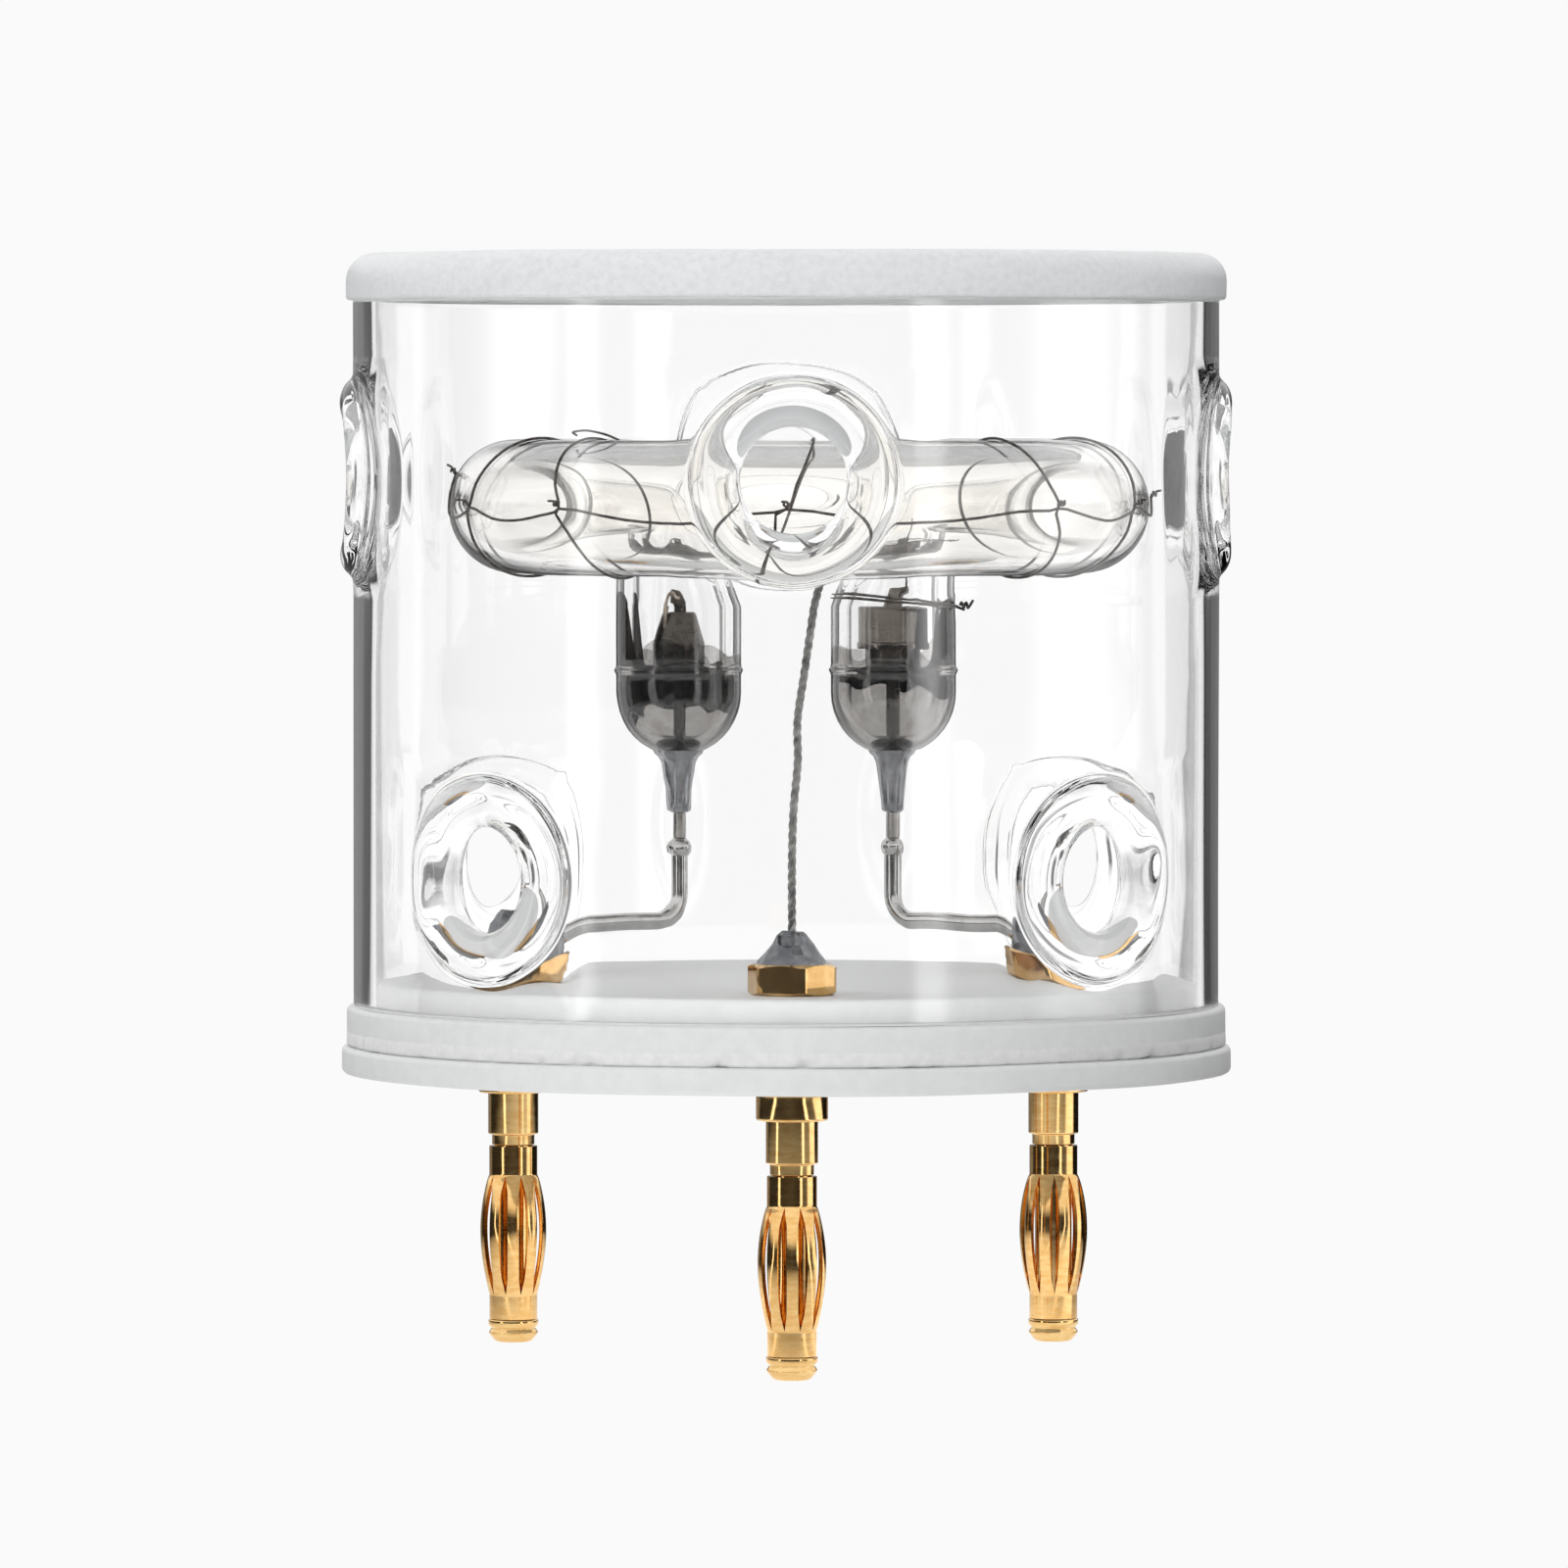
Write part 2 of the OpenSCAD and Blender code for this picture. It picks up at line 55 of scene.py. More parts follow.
def linear(hex_colour):
    """Linear RGBA of an sRGB hex colour."""
    parts = [int(hex_colour[i : i + 2], 16) / 255 for i in (1, 3, 5)]
    return [c / 12.92 if c <= 0.04045 else ((c + 0.055) / 1.055) ** 2.4 for c in parts] + [1.0]


def new_material(name, colour, **settings):
    """A Principled material; settings name its sockets with underscores for spaces."""
    made = bpy.data.materials.new(name)
    made.use_nodes = True
    shader = made.node_tree.nodes["Principled BSDF"]
    shader.inputs["Base Color"].default_value = linear(colour)
    for socket, value in settings.items():
        shader.inputs[socket.replace("_", " ")].default_value = value
    return made


def add_node(tree, kind, inputs=None, **settings):
    """Adds a node. An input is a value, or the output socket that feeds it."""
    made = tree.nodes.new(kind)
    for key, value in settings.items():
        setattr(made, key, value)
    for key, value in (inputs or {}).items():
        if isinstance(value, bpy.types.NodeSocket):
            tree.links.new(value, made.inputs[key])
        else:
            made.inputs[key].default_value = value
    return made


def grain(material, size, colours=None, roughness=None, bump=0.0, stretch=(1, 1, 1)):
    """Noise with a grain of that size in mm: shifts colour and roughness, and lifts it by bump mm."""
    tree = material.node_tree
    shader = tree.nodes["Principled BSDF"]
    place = add_node(tree, "ShaderNodeTexCoord").outputs["Object"]
    place = add_node(tree, "ShaderNodeMapping", {"Vector": place, "Scale": stretch}).outputs[0]
    cloud = add_node(
        tree, "ShaderNodeTexNoise",
        {"Vector": place, "Scale": 1 / (size * MM), "Detail": 4.0, "Roughness": 0.6}
    ).outputs["Fac"]
    if colours:
        ramp = add_node(tree, "ShaderNodeValToRGB", {"Fac": cloud})
        for stop, (at, colour) in zip(ramp.color_ramp.elements, zip((0.36, 0.64), colours)):
            stop.position, stop.color = at, linear(colour)
        tree.links.new(ramp.outputs["Color"], shader.inputs["Base Color"])
    if roughness:
        spread = add_node(
            tree, "ShaderNodeMapRange", {"Value": cloud, 1: 0.3, 2: 0.7, 3: roughness[0], 4: roughness[1]}
        )
        tree.links.new(spread.outputs[0], shader.inputs["Roughness"])
    if bump:
        raised = add_node(tree, "ShaderNodeBump", {"Height": cloud, "Strength": 1.0, "Distance": bump * MM})
        tree.links.new(raised.outputs[0], shader.inputs["Normal"])
    return material


def place_mesh(name, points, faces, material, slot, *nodes, body="unit", sharp=32):
    """Makes a mesh from points in mm, gives it its finish and its body, and hides the CAD nodes it stands
    for.
    """
    mesh = bpy.data.meshes.new(name)
    mesh.from_pydata([Vector(p) * MM for p in points], [], faces)
    work = bmesh.new()
    work.from_mesh(mesh)
    bmesh.ops.remove_doubles(work, verts=work.verts, dist=1e-7)
    bmesh.ops.recalc_face_normals(work, faces=work.faces)
    for face in work.faces:
        face.smooth = True
    work.to_mesh(mesh)
    work.free()
    mesh.set_sharp_from_angle(angle=math.radians(sharp))
    mesh.materials.append(material)
    made = bpy.data.objects.new(name, mesh)
    bpy.context.collection.objects.link(made)
    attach(made, body)
    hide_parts(*nodes)
    return made


def skin(rings, loop=False):
    """Points and faces of the surface through rings of points; a ring of one point closes to a tip."""
    points, starts, faces = [], [], []
    for ring in rings:
        starts.append(len(points))
        points += ring
    sides = max(len(ring) for ring in rings)
    pairs = list(zip(range(len(rings) - 1), range(1, len(rings)))) + ([(len(rings) - 1, 0)] if loop else [])
    for a, b in pairs:
        for i in range(sides):
            j = i + 1
            corners = [(a, i), (a, j), (b, j), (b, i)]
            face = list(dict.fromkeys(starts[r] + k % len(rings[r]) for r, k in corners))
            if len(face) > 2:
                faces.append(face)
    return points, faces


def turned(profile, centre=(0, 0, 0), sides=96, wobble=None):
    """Turns (radius, height) points round a vertical axis; wobble(point, out) returns a change of place."""
    rings = []
    for r, z in profile:
        ring = []
        for i in range(sides if r > 1e-6 else 1):
            turn = 2 * math.pi * i / sides
            out = Vector((math.cos(turn), math.sin(turn), 0))
            point = Vector(centre) + out * r + UP * z
            ring.append(point + (wobble(point, out) if wobble else Vector()))
        rings.append(ring)
    return skin(rings)


def rounded(*corners, steps=5):
    """Polyline through (x, z, radius) corners with a true arc at each."""
    out = []
    for i, (x, z, r) in enumerate(corners):
        here = Vector((x, z))
        if r <= 0:
            out.append((x, z))
            continue
        back, on = (
            (Vector(corners[(i + k) % len(corners)][:2]) - here).normalized() for k in (-1, 1)
        )
        half = back.angle(on) / 2
        centre = here + (back + on).normalized() * (r / math.sin(half))
        first, last = (here + way * (r / math.tan(half)) - centre for way in (back, on))
        start = math.atan2(first.y, first.x)
        turn = (math.atan2(last.y, last.x) - start + math.pi) % (2 * math.pi) - math.pi
        for k in range(steps + 1):
            angle = start + turn * k / steps
            out.append((centre.x + r * math.cos(angle), centre.y + r * math.sin(angle)))
    return out


def cad_box(node):
    """Lowest and highest corner of a CAD node, and its middle, in mm."""
    low, high = (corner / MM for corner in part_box(node))
    return low, high, (low + high) / 2


def rough(point, size, depth):
    """Signed noise of a given grain size and depth in mm."""
    return depth * noise.noise(Vector(point) / size)


# Pressed and fired: matt white with a faint sheen, and a press grain of about a millimetre.
CERAMIC = grain(
    new_material(
        "Ceramic, pressed and fired", "#dcdddd", Roughness=0.5, Coat_Weight=0.15, Coat_Roughness=0.35
    ),
    1.1, ("#dadbdb", "#dfe0e0"), (0.45, 0.55), bump=0.008,
)
# Duller and coarser than the discs, so that the seam reads as a line of its own.
CEMENT = grain(
    new_material("Cement, set by hand", "#dedfde", Roughness=0.7), 0.7, ("#d9dad9", "#e2e3e2"), (0.6, 0.8),
    bump=0.012
)
EDGE = 0.4
_, flange_high, _ = cad_box("base_flange")
_, ledge_high, _ = cad_box("base_boss")
_, seam_high, _ = cad_box("base_cement")
foot_low, foot_high, _ = cad_box("foot_cement")
GLASS_R = foot_high.x
GLASS_WALL = 1.7
BOSS_R = GLASS_R - GLASS_WALL - 0.15


def ceramic_wear(point, out):
    """Pressed ceramic is never quite round or flat."""
    return out * (rough(point, 9, 0.10) + rough(point, 1.3, 0.03)) + UP * rough(point, 14, 0.06)


lower_disc = rounded(
    (0, 0, 0), (flange_high.x, 0, EDGE), (flange_high.x, flange_high.z, EDGE), (0, flange_high.z, 0)
)
place_mesh(
    "lower_disc", *turned(lower_disc, sides=240, wobble=ceramic_wear), CERAMIC, "ceramic", "base_flange"
)

upper_disc = rounded(
    (0, seam_high.z, 0), (ledge_high.x, seam_high.z, 0.06), (ledge_high.x, foot_low.z, EDGE),
    (BOSS_R, foot_low.z, 0.15), (BOSS_R, ledge_high.z, EDGE), (0, ledge_high.z, 0),
)
place_mesh("upper_disc", *turned(upper_disc, sides=240, wobble=ceramic_wear), CERAMIC, "ceramic", "base_boss")


def squeezed_cement(point, out):
    """The cement bulges, sinks and has small chips along the seam."""
    low = point.z < seam_mid - 0.1
    chip = max(0.0, noise.noise(point / 1.1 + Vector((7, 3, 1))) - 0.27)
    return out * (
        rough(point, 9, 0.10) + rough(point, 0.8, 0.09 if low else 0.02) - (1.3 if low else 0.1) * chip
    )


seam_mid = (flange_high.z + seam_high.z) / 2
seam_r = ledge_high.x + 0.01
seam = [(0, flange_high.z - 0.1), (seam_r - 0.3, flange_high.z - 0.1), (seam_r - 0.2, flange_high.z + 0.04),
        (seam_r - 0.05, flange_high.z + 0.12),
        (seam_r, flange_high.z + 0.24), (seam_r, seam_mid + 0.15), (seam_r, seam_high.z),
        (seam_r - 0.05, seam_high.z + 0.1), (0, seam_high.z + 0.15)]
place_mesh(
    "seam_cement", *turned(seam, sides=480, wobble=squeezed_cement), CEMENT, "cement", "base_cement", sharp=60
)

for ring_node in ("foot_cement", "cap_cement"):
    for material_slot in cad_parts[ring_node].material_slots:
        material_slot.material = CEMENT

# ---------------------------------------------------------------- cap
# A thick disc of ground glass with a rounded upper edge. It closes the cylinder, on a ring of
# cement over the cylinder's rim.

# Blasted with grit: white, with a soft glow. The grit marks are drawn at half a millimetre,
# coarser than real ones, because those are too fine to show.
FROSTED = grain(
    new_material("Glass, ground and blasted", "#f4f5f6", Roughness=0.4, IOR=1.47, Transmission_Weight=0.4),
    0.5,
    ("#eef0f1", "#fafbfc"), (0.3, 0.5), bump=0.07,
)
cap_low, cap_high, _ = cad_box("top_cap")
CAP_EDGE, CAP_LIP = 1.9, 0.3
cap = rounded(
    (0, cap_low.z, 0), (cap_high.x, cap_low.z, CAP_LIP), (cap_high.x, cap_high.z, CAP_EDGE),
    (0, cap_high.z, 0), steps=8
)
place_mesh(
    "cap", *turned(cap, sides=360, wobble=lambda p, out: out * rough(p, 0.8, 0.05) + UP * rough(p, 6, 0.05)),
    FROSTED, "frosted_glass", "top_cap",
)

# ---------------------------------------------------------------- glass cylinder
# Clear borosilicate tube with eight air vents. Each vent is a hole with a thick bead of
# glass melted round it, which follows the curve of the wall and runs into it in a fillet.


def around(azimuth, r, z=0.0):
    """Point at an azimuth from the front, a radius and a height."""
    turn = math.radians(azimuth)
    return Vector((r * math.sin(turn), -r * math.cos(turn), z))


def join(*shapes):
    """Joins several (points, faces) into one."""
    points, faces = [], []
    for some_points, some_faces in shapes:
        faces += [[k + len(points) for k in face] for face in some_faces]
        points += some_points
    return points, faces


# Fire polish leaves no texture: only bent outlines and bright or dark edges show.
GLASS = new_material(
    "Glass, borosilicate, fire-polished", "#ffffff", Roughness=0.0, IOR=1.47, Transmission_Weight=1.0
)
_, glass_high, _ = cad_box("glass_cylinder")
HALF_WALL = GLASS_WALL / 2
MID_R = GLASS_R - HALF_WALL
BEAD_R = glass_high.x - MID_R
VENT_R = 3.625
VENTS_PER_ROW = 4
UPPER_Z, LOWER_Z = 41.5, 14.25
FILLET = 0.8
PATCH = 8.5
STEPS = 24
lap = 2 * math.pi * MID_R / VENTS_PER_ROW


def vent_gap(u, k, low):
    """Arc length from u to the middle of vent k of the lower or the upper row, the short way round."""
    return (u - (k + 0.5 * low) * lap + 2 * lap) % (4 * lap) - 2 * lap


def on_wall(u, z, n):
    """Point at an arc length round the wall, a height, and a distance out from the middle of the wall."""
    place = around(math.degrees(u / MID_R), MID_R + n, z)
    near = min(
        math.hypot(
            vent_gap(u, k, low), z - (LOWER_Z if low else UPPER_Z)
        ) for low in (0, 1) for k in range(VENTS_PER_ROW)
    )
    lump = max(0.0, 1 - abs(near - VENT_R - BEAD_R) / (BEAD_R + FILLET))
    out = around(math.degrees(u / MID_R), 1)
    return place + lump * (
        out * rough(place, 3.6, 0.16) + UP * rough(place + UP * 40, 3.6, 0.14)
    ) + out * rough(place, 25, 0.06)


bead_mid = VENT_R + BEAD_R
fillet_run = math.sqrt((BEAD_R + FILLET) ** 2 - (HALF_WALL + FILLET) ** 2)
fillet_tip = math.atan2(HALF_WALL + FILLET, fillet_run)
front_half = [
    (bead_mid + fillet_run + FILLET * math.cos(a), HALF_WALL + FILLET + FILLET * math.sin(a))
    for a in (-math.pi / 2 - (math.pi / 2 - fillet_tip) * k / 5 for k in range(6))
]
front_half += [
    (bead_mid + BEAD_R * math.cos(a), BEAD_R * math.sin(a))
    for a in (fillet_tip + (math.pi - fillet_tip) * k / 14 for k in range(1, 15))
]
bead_section = front_half + [(r, -n) for r, n in reversed(front_half[:-1])]
spokes = [math.radians(-45 + 90 * k / STEPS) for k in range(4 * STEPS)]
edge_steps = [PATCH * math.tan(math.radians(-45 + 90 * k / STEPS)) for k in range(STEPS + 1)]
shapes = []
for i in range(2 * VENTS_PER_ROW):
    low_row = i % 2
    middle_u, middle_z = i * lap / 2, LOWER_Z if low_row else UPPER_Z
    rings = []
    for section in [(None, HALF_WALL)] + bead_section + [(None, -HALF_WALL)]:
        ring = []
        for spoke in spokes:
            reach = section[0] or PATCH / max(abs(math.cos(spoke)), abs(math.sin(spoke)))
            ring.append(
                on_wall(middle_u + reach * math.cos(spoke), middle_z + reach * math.sin(spoke), section[1])
            )
        rings.append(ring)
    shapes.append(skin(rings))

columns = []
for i in range(2 * VENTS_PER_ROW):
    columns += [i * lap / 2 + step for step in edge_steps] + [(i + 0.5) * lap / 2]
glass_foot, glass_top = foot_high.z - 0.04, cap_low.z - (foot_high.z - foot_low.z) + 0.04
rows = [glass_foot] + [LOWER_Z + s for s in edge_steps] + [(LOWER_Z + UPPER_Z) / 2]
rows += [UPPER_Z + s for s in edge_steps] + [glass_top]
next_columns = columns[1:] + [columns[0] + lap * VENTS_PER_ROW]
grid_faces, grid_points = [], []
for j in range(len(rows) - 1):
    for u0, u1 in zip(columns, next_columns):
        mid_u, mid_z = (u0 + u1) / 2, (rows[j] + rows[j + 1]) / 2
        if any(
            abs(vent_gap(mid_u, k, low)) < PATCH and abs(mid_z - (LOWER_Z if low else UPPER_Z)) < PATCH
            for low in (0, 1) for k in range(VENTS_PER_ROW)
        ):
            continue
        for n in (HALF_WALL, -HALF_WALL):
            grid_faces.append(list(range(len(grid_points), len(grid_points) + 4)))
            grid_points += [
                on_wall(u0, rows[j], n), on_wall(u1, rows[j], n), on_wall(u1, rows[j + 1], n),
                on_wall(u0, rows[j + 1], n)
            ]
for z in (glass_foot, glass_top):
    for u0, u1 in zip(columns, next_columns):
        grid_faces.append(list(range(len(grid_points), len(grid_points) + 4)))
        grid_points += [
            on_wall(u0, z, HALF_WALL), on_wall(u1, z, HALF_WALL), on_wall(u1, z, -HALF_WALL),
            on_wall(u0, z, -HALF_WALL)
        ]
place_mesh(
    "glass_wall", *join((grid_points, grid_faces), *shapes), GLASS, "clear_glass", "glass_cylinder", sharp=50
)

# ---------------------------------------------------------------- ring flash tube
# One quartz tube with a cream ultraviolet coating: a ring with both ends bent down into
# legs. The lower part of each leg was made apart and fused on, which leaves a thin ridge.

# The coating gives clear quartz a faint warm tint.
COATED = new_material("Quartz tube, coated", "#fffefc", Roughness=0.0, IOR=1.46, Transmission_Weight=1.0)
tube_low, tube_high, tube_mid = cad_box("flash_tube")
seal_mid = {side: cad_box(name)[2] for side, name in ((-1, "left_seal"), (1, "right_seal"))}
TUBE_R, LEG_R, TUBE_WALL, ELBOW_R = 4.65, 4.5, 1.1, 5.2
RIDGE_Z = 27.6
ring_r = (tube_high.x - tube_low.x) / 2 - TUBE_R
ring_z = tube_high.z - TUBE_R
ring_centre = Vector((tube_mid.x, 0, ring_z))
leg_floor = tube_low.z
ball_z = leg_floor + LEG_R


def leg_azimuth(side):
    """Azimuth at which the ring turns into the elbow of a leg."""
    leg = seal_mid[side] - ring_centre
    return side * (
        180 - math.degrees(math.atan2(abs(leg.x), leg.y)) - math.degrees(math.atan(ELBOW_R / ring_r))
    )


def ring_point(azimuth, out=0.0, up=0.0):
    """Point near the middle line of the ring."""
    return ring_centre + around(azimuth, ring_r + out) + UP * up


def tube_run(side):
    """Elbow and leg of one side, from the ring downwards: (point, radius) pairs."""
    azimuth = leg_azimuth(side)
    start = ring_point(azimuth)
    way = around(azimuth + 90 * side, 1)
    turn = [(start + way * ELBOW_R * math.sin(a) - UP * ELBOW_R * (1 - math.cos(a)),
             TUBE_R + (LEG_R - TUBE_R) * k / 10)
            for k, a in ((k, math.radians(9 * k)) for k in range(1, 11))]
    foot = start + way * ELBOW_R
    heights = [turn[-1][0].z + (RIDGE_Z - turn[-1][0].z) * k / 6 for k in range(1, 6)]
    leg = [(Vector((foot.x, foot.y, z)), LEG_R) for z in heights]
    leg += [(Vector((foot.x, foot.y, RIDGE_Z + dz)), LEG_R + dr)
            for dz, dr in ((0.35, 0), (0.15, 0.08), (0, 0.16), (-0.15, 0.08), (-0.35, 0), (-0.9, 0))]
    return turn + leg, Vector((foot.x, foot.y, ball_z))


def tube_surface(inset):
    """Outer or inner surface of the whole tube, as rings."""
    left, left_ball = tube_run(-1)
    right, right_ball = tube_run(1)
    first, last = leg_azimuth(-1), leg_azimuth(1)
    count = 84
    ring = [(ring_point(first + (last - first) * k / count), TUBE_R) for k in range(count + 1)]
    line = list(reversed(left)) + ring + right
    bottoms = {}
    for side, ball in ((-1, left_ball), (1, right_ball)):
        reach = LEG_R - inset
        bottoms[side] = [
            (
                ball - UP * reach * math.sin(a), reach * math.cos(a) + inset
            ) for a in (math.radians(9 * k) for k in range(11))
        ]
    line = list(reversed(bottoms[-1])) + line + bottoms[1]
    rings, out = [], None
    for i, (point, radius) in enumerate(line):
        way = (line[min(i + 1, len(line) - 1)][0] - line[max(i - 1, 0)][0]).normalized()
        out = way.orthogonal() if out is None else out
        out = (out - out.dot(way) * way).normalized()
        side = way.cross(out)
        r = radius - inset + rough(point, 7, 0.05)
        if r < 0.15:
            rings.append([point])
        else:
            rings.append(
                [
                    point + r * (math.cos(t) * out + math.sin(t) * side)
                    for t in (2 * math.pi * k / 48 for k in range(48))
                ]
            )
    return rings


# The legs are left uncoated and are as clear as water.
QUARTZ = new_material("Quartz tube, clear", "#ffffff", Roughness=0.0, IOR=1.46, Transmission_Weight=1.0)
tube_parts = []
for inset, flip in ((0, False), (TUBE_WALL, True)):
    points, faces = skin(tube_surface(inset))
    tube_parts.append((points, [list(reversed(face)) for face in faces] if flip else faces))
tube = place_mesh("ring_tube", *join(*tube_parts), COATED, "coated_glass", "flash_tube", sharp=60)
work = bmesh.new()
work.from_mesh(tube.data)
inner = [f for f in work.faces if f.index >= len(tube_parts[0][1])]
bmesh.ops.reverse_faces(work, faces=inner)
for face in work.faces:
    face.material_index = int(
        face.calc_center_median().z < (ring_z - 4.0) * MM and face.calc_center_median().y > 0.01
    )
work.to_mesh(tube.data)
work.free()
tube.data.materials.append(QUARTZ)

# ---------------------------------------------------------------- getter film
# Metal film flashed on to the inside of each leg by the getter: thick and dark on the side
# that faced it, and thin enough to see through lower down.

# Flashed in a vacuum, so it lies like a dark mirror, browner where it is thin.
FILM = grain(
    new_material("Getter film, flashed barium", "#1b1816", Metallic=1.0, Roughness=0.2),
    1.6, ("#12100e", "#2f2924"), (0.12, 0.28),
)
# Where the film thins out it only greys the light that passes.
SMOKE = new_material("Getter film, thin", "#c6c4c2", Roughness=0.0, IOR=1.46, Transmission_Weight=1.0)
SMOKE_FOOT, SMOKE_TOP, FILM_RISE, RISE_WIDTH = 22.0, 28.6, 5.2, 30


def film_band(side, low, high, r, thickness):
    """Closed band inside a leg. low and high give its edges at an azimuth."""
    rings = []
    for k, depth in [(k, 0.0) for k in range(13)] + [(k, thickness) for k in range(12, -1, -1)]:
        ring = []
        for azimuth in range(-180, 180, 4):
            z = low(azimuth) + (high(azimuth) - low(azimuth)) * k / 12
            below = max(0.0, ball_z - z)
            reach = math.sqrt(max(r**2 - below**2, 0.1)) - depth
            ring.append(Vector((seal_mid[side].x, seal_mid[side].y, 0)) + around(azimuth, reach, z))
        rings.append(ring)
    return skin(rings, loop=True)


def uneven(azimuth, side, depth):
    """Ragged edge of the film, different on each leg."""
    return rough(around(azimuth, 3) + Vector((side, 0, 5)), 1.9, depth)


for side, name, facing, film_foot, film_top in ((-1, "left", -90, 24.8, 27.8), (1, "right", 80, 26.4, 27.5)):
    streak = lambda azimuth: math.exp(-((((azimuth - facing + 180) % 360 - 180) / RISE_WIDTH) ** 4))
    low = lambda azimuth: film_foot - 0.9 * streak(azimuth) + uneven(azimuth, side, 0.9)
    high = lambda azimuth: film_top + FILM_RISE * streak(azimuth) + uneven(azimuth, -side, 0.5)
    film_r = LEG_R - TUBE_WALL + 0.04
    place_mesh(name + "_film", *film_band(side, low, high, film_r, 0.08), FILM, "nickel", sharp=70)
    place_mesh(
        name + "_smoke",
        *film_band(side, lambda a: SMOKE_FOOT, lambda a: SMOKE_TOP + uneven(a, side, 1.5), film_r + 0.2, 0.1),
        SMOKE, "coated_glass", sharp=70,
    )

# ---------------------------------------------------------------- seals
# Grey glass drawn down round each electrode pin, where it leaves the foot of its leg. It is
# worked by hand in a flame, so the two aren't quite alike.

# Glass wetted on to metal: it looks like dull grey metal under a glossy skin.
SEAL = grain(
    new_material(
        "Seal glass, drawn over tungsten", "#8a8b8e", Metallic=0.6, Roughness=0.15, Coat_Weight=1.0,
        Coat_Roughness=0.03
    ),
    0.9, ("#7d7e82", "#959699"), (0.06, 0.12),
)
for side, node in ((-1, "left_seal"), (1, "right_seal")):
    low, _, mid = cad_box(node)
    drawn = [(0, low.z), (0.62, low.z), (0.84, low.z + 0.18), (0.88, low.z + 0.8), (0.94, low.z + 1.7),
             (1.06, low.z + 2.5),
             (1.2, leg_floor - 0.5), (1.4, leg_floor - 0.1), (1.7, leg_floor + 0.15), (1.8, leg_floor + 0.4),
             (0, leg_floor + 0.5)]
    place_mesh(
        node.replace("seal", "drawn_seal"),
        *turned(drawn, (mid.x, mid.y, 0), sides=40, wobble=lambda p, out: out * rough(p, 1.3, 0.08)), SEAL,
        "seal_glass", node, sharp=60
    )

# ---------------------------------------------------------------- electrodes
# Tungsten pins with, on the left, a solid anode block and the wire hook that held the getter,
# and on the right the nickel cathode cup on its collar and sleeve.


def swept(path, radius, sides=16, flat=None):
    """Closed tube along a path. radius: one number or one per point; flat(i): (width, height) factors."""
    path = [Vector(p) for p in path]
    radii = radius if isinstance(radius, list) else [radius] * len(path)
    out, rings = None, []
    for i, point in enumerate(path):
        way = (path[min(i + 1, len(path) - 1)] - path[max(i - 1, 0)]).normalized()
        if out is None:
            out = way.orthogonal() if abs(way.z) > 0.9 else way.cross(UP)
        out = (out - out.dot(way) * way).normalized()
        side = way.cross(out)
        wide, high = flat(i) if flat else (1, 1)
        turns = [2 * math.pi * k / sides for k in range(sides)]
        rings.append(
            [point + radii[i] * (wide * math.cos(t) * out + high * math.sin(t) * side) for t in turns]
        )
    return skin([[path[0]]] + rings + [[path[-1]]])


def smooth_path(points, steps=8):
    """Catmull-Rom curve through points."""
    points = [Vector(p) for p in points]
    out = []
    for i in range(len(points) - 1):
        a, b, c, d = (points[min(max(i + k, 0), len(points) - 1)] for k in (-1, 0, 1, 2))
        for k in range(steps):
            t = k / steps
            out.append(
                0.5 * (
                    2 * b + (c - a) * t + (2 * a - 5 * b + 4 * c - d) * t**2 + (3 * b - a - 3 * c + d) * t**3
                )
            )
    return out + [points[-1]]


# Sintered: dark and slightly granular, at just under a millimetre.
TUNGSTEN = grain(
    new_material("Tungsten, sintered", "#5f5a55", Metallic=0.9, Roughness=0.3), 0.9, ("#544f4a", "#6e6862"),
    (0.22, 0.35)
)
# Deep drawn and fired in use: smooth, with broad warm-grey stains.
CUP = grain(
    new_material("Nickel, deep drawn, fired", "#7d7771", Metallic=1.0, Roughness=0.18), 2.5,
    ("#76706a", "#857f78"), (0.14, 0.22)
)
anode_low, anode_high, anode_mid = cad_box("anode")
getter_low, getter_high, getter_mid = cad_box("getter")
block_z, block_r = getter_low.z, (anode_high.x - anode_low.x) / 2
anode = rounded(
    (0, anode_low.z, 0), (0.5, anode_low.z, 0.05), (0.5, leg_floor, 0), (0.5, block_z - 3.8, 0),
    (block_r, block_z - 3.8, 0.2), (block_r, block_z - 2.2, 0.1),
    (block_r * 0.68, block_z - 0.2, 0.15), (block_r * 0.62, block_z, 0.1), (0.5, block_z, 0),
    (0.5, anode_high.z, 0.15), (0, anode_high.z, 0), steps=3,
)
block = turned(
    anode, (anode_mid.x, anode_mid.y, 0), sides=40, wobble=lambda p, out: out * rough(p, 0.9, 0.06)
)
electrodes = [place_mesh("anode_block", *block, TUNGSTEN, "tungsten", "anode")]

hook = [(getter_low.x + 0.15, getter_mid.y, block_z - 1.6),
        (getter_low.x + 0.1, getter_mid.y - 0.1, block_z - 0.4),
        (getter_low.x + 0.15, getter_mid.y, block_z + 0.6),
        (getter_low.x + 0.35, getter_mid.y, getter_high.z - 0.4),
        (getter_mid.x + 0.1, getter_mid.y, getter_high.z - 0.15),
        (getter_high.x - 0.1, getter_mid.y, getter_high.z - 0.5)]
# Drawn wire, partly heated: bright with straw-coloured patches.
HOOK = grain(
    new_material("Nickel getter wire", "#c9b9a4", Metallic=1.0, Roughness=0.25), 0.6, ("#a8988a", "#e6d8c6"),
    (0.18, 0.35)
)
place_mesh("getter_hook", *swept(smooth_path(hook, 6), 0.15, 12), HOOK, "nickel", "getter")

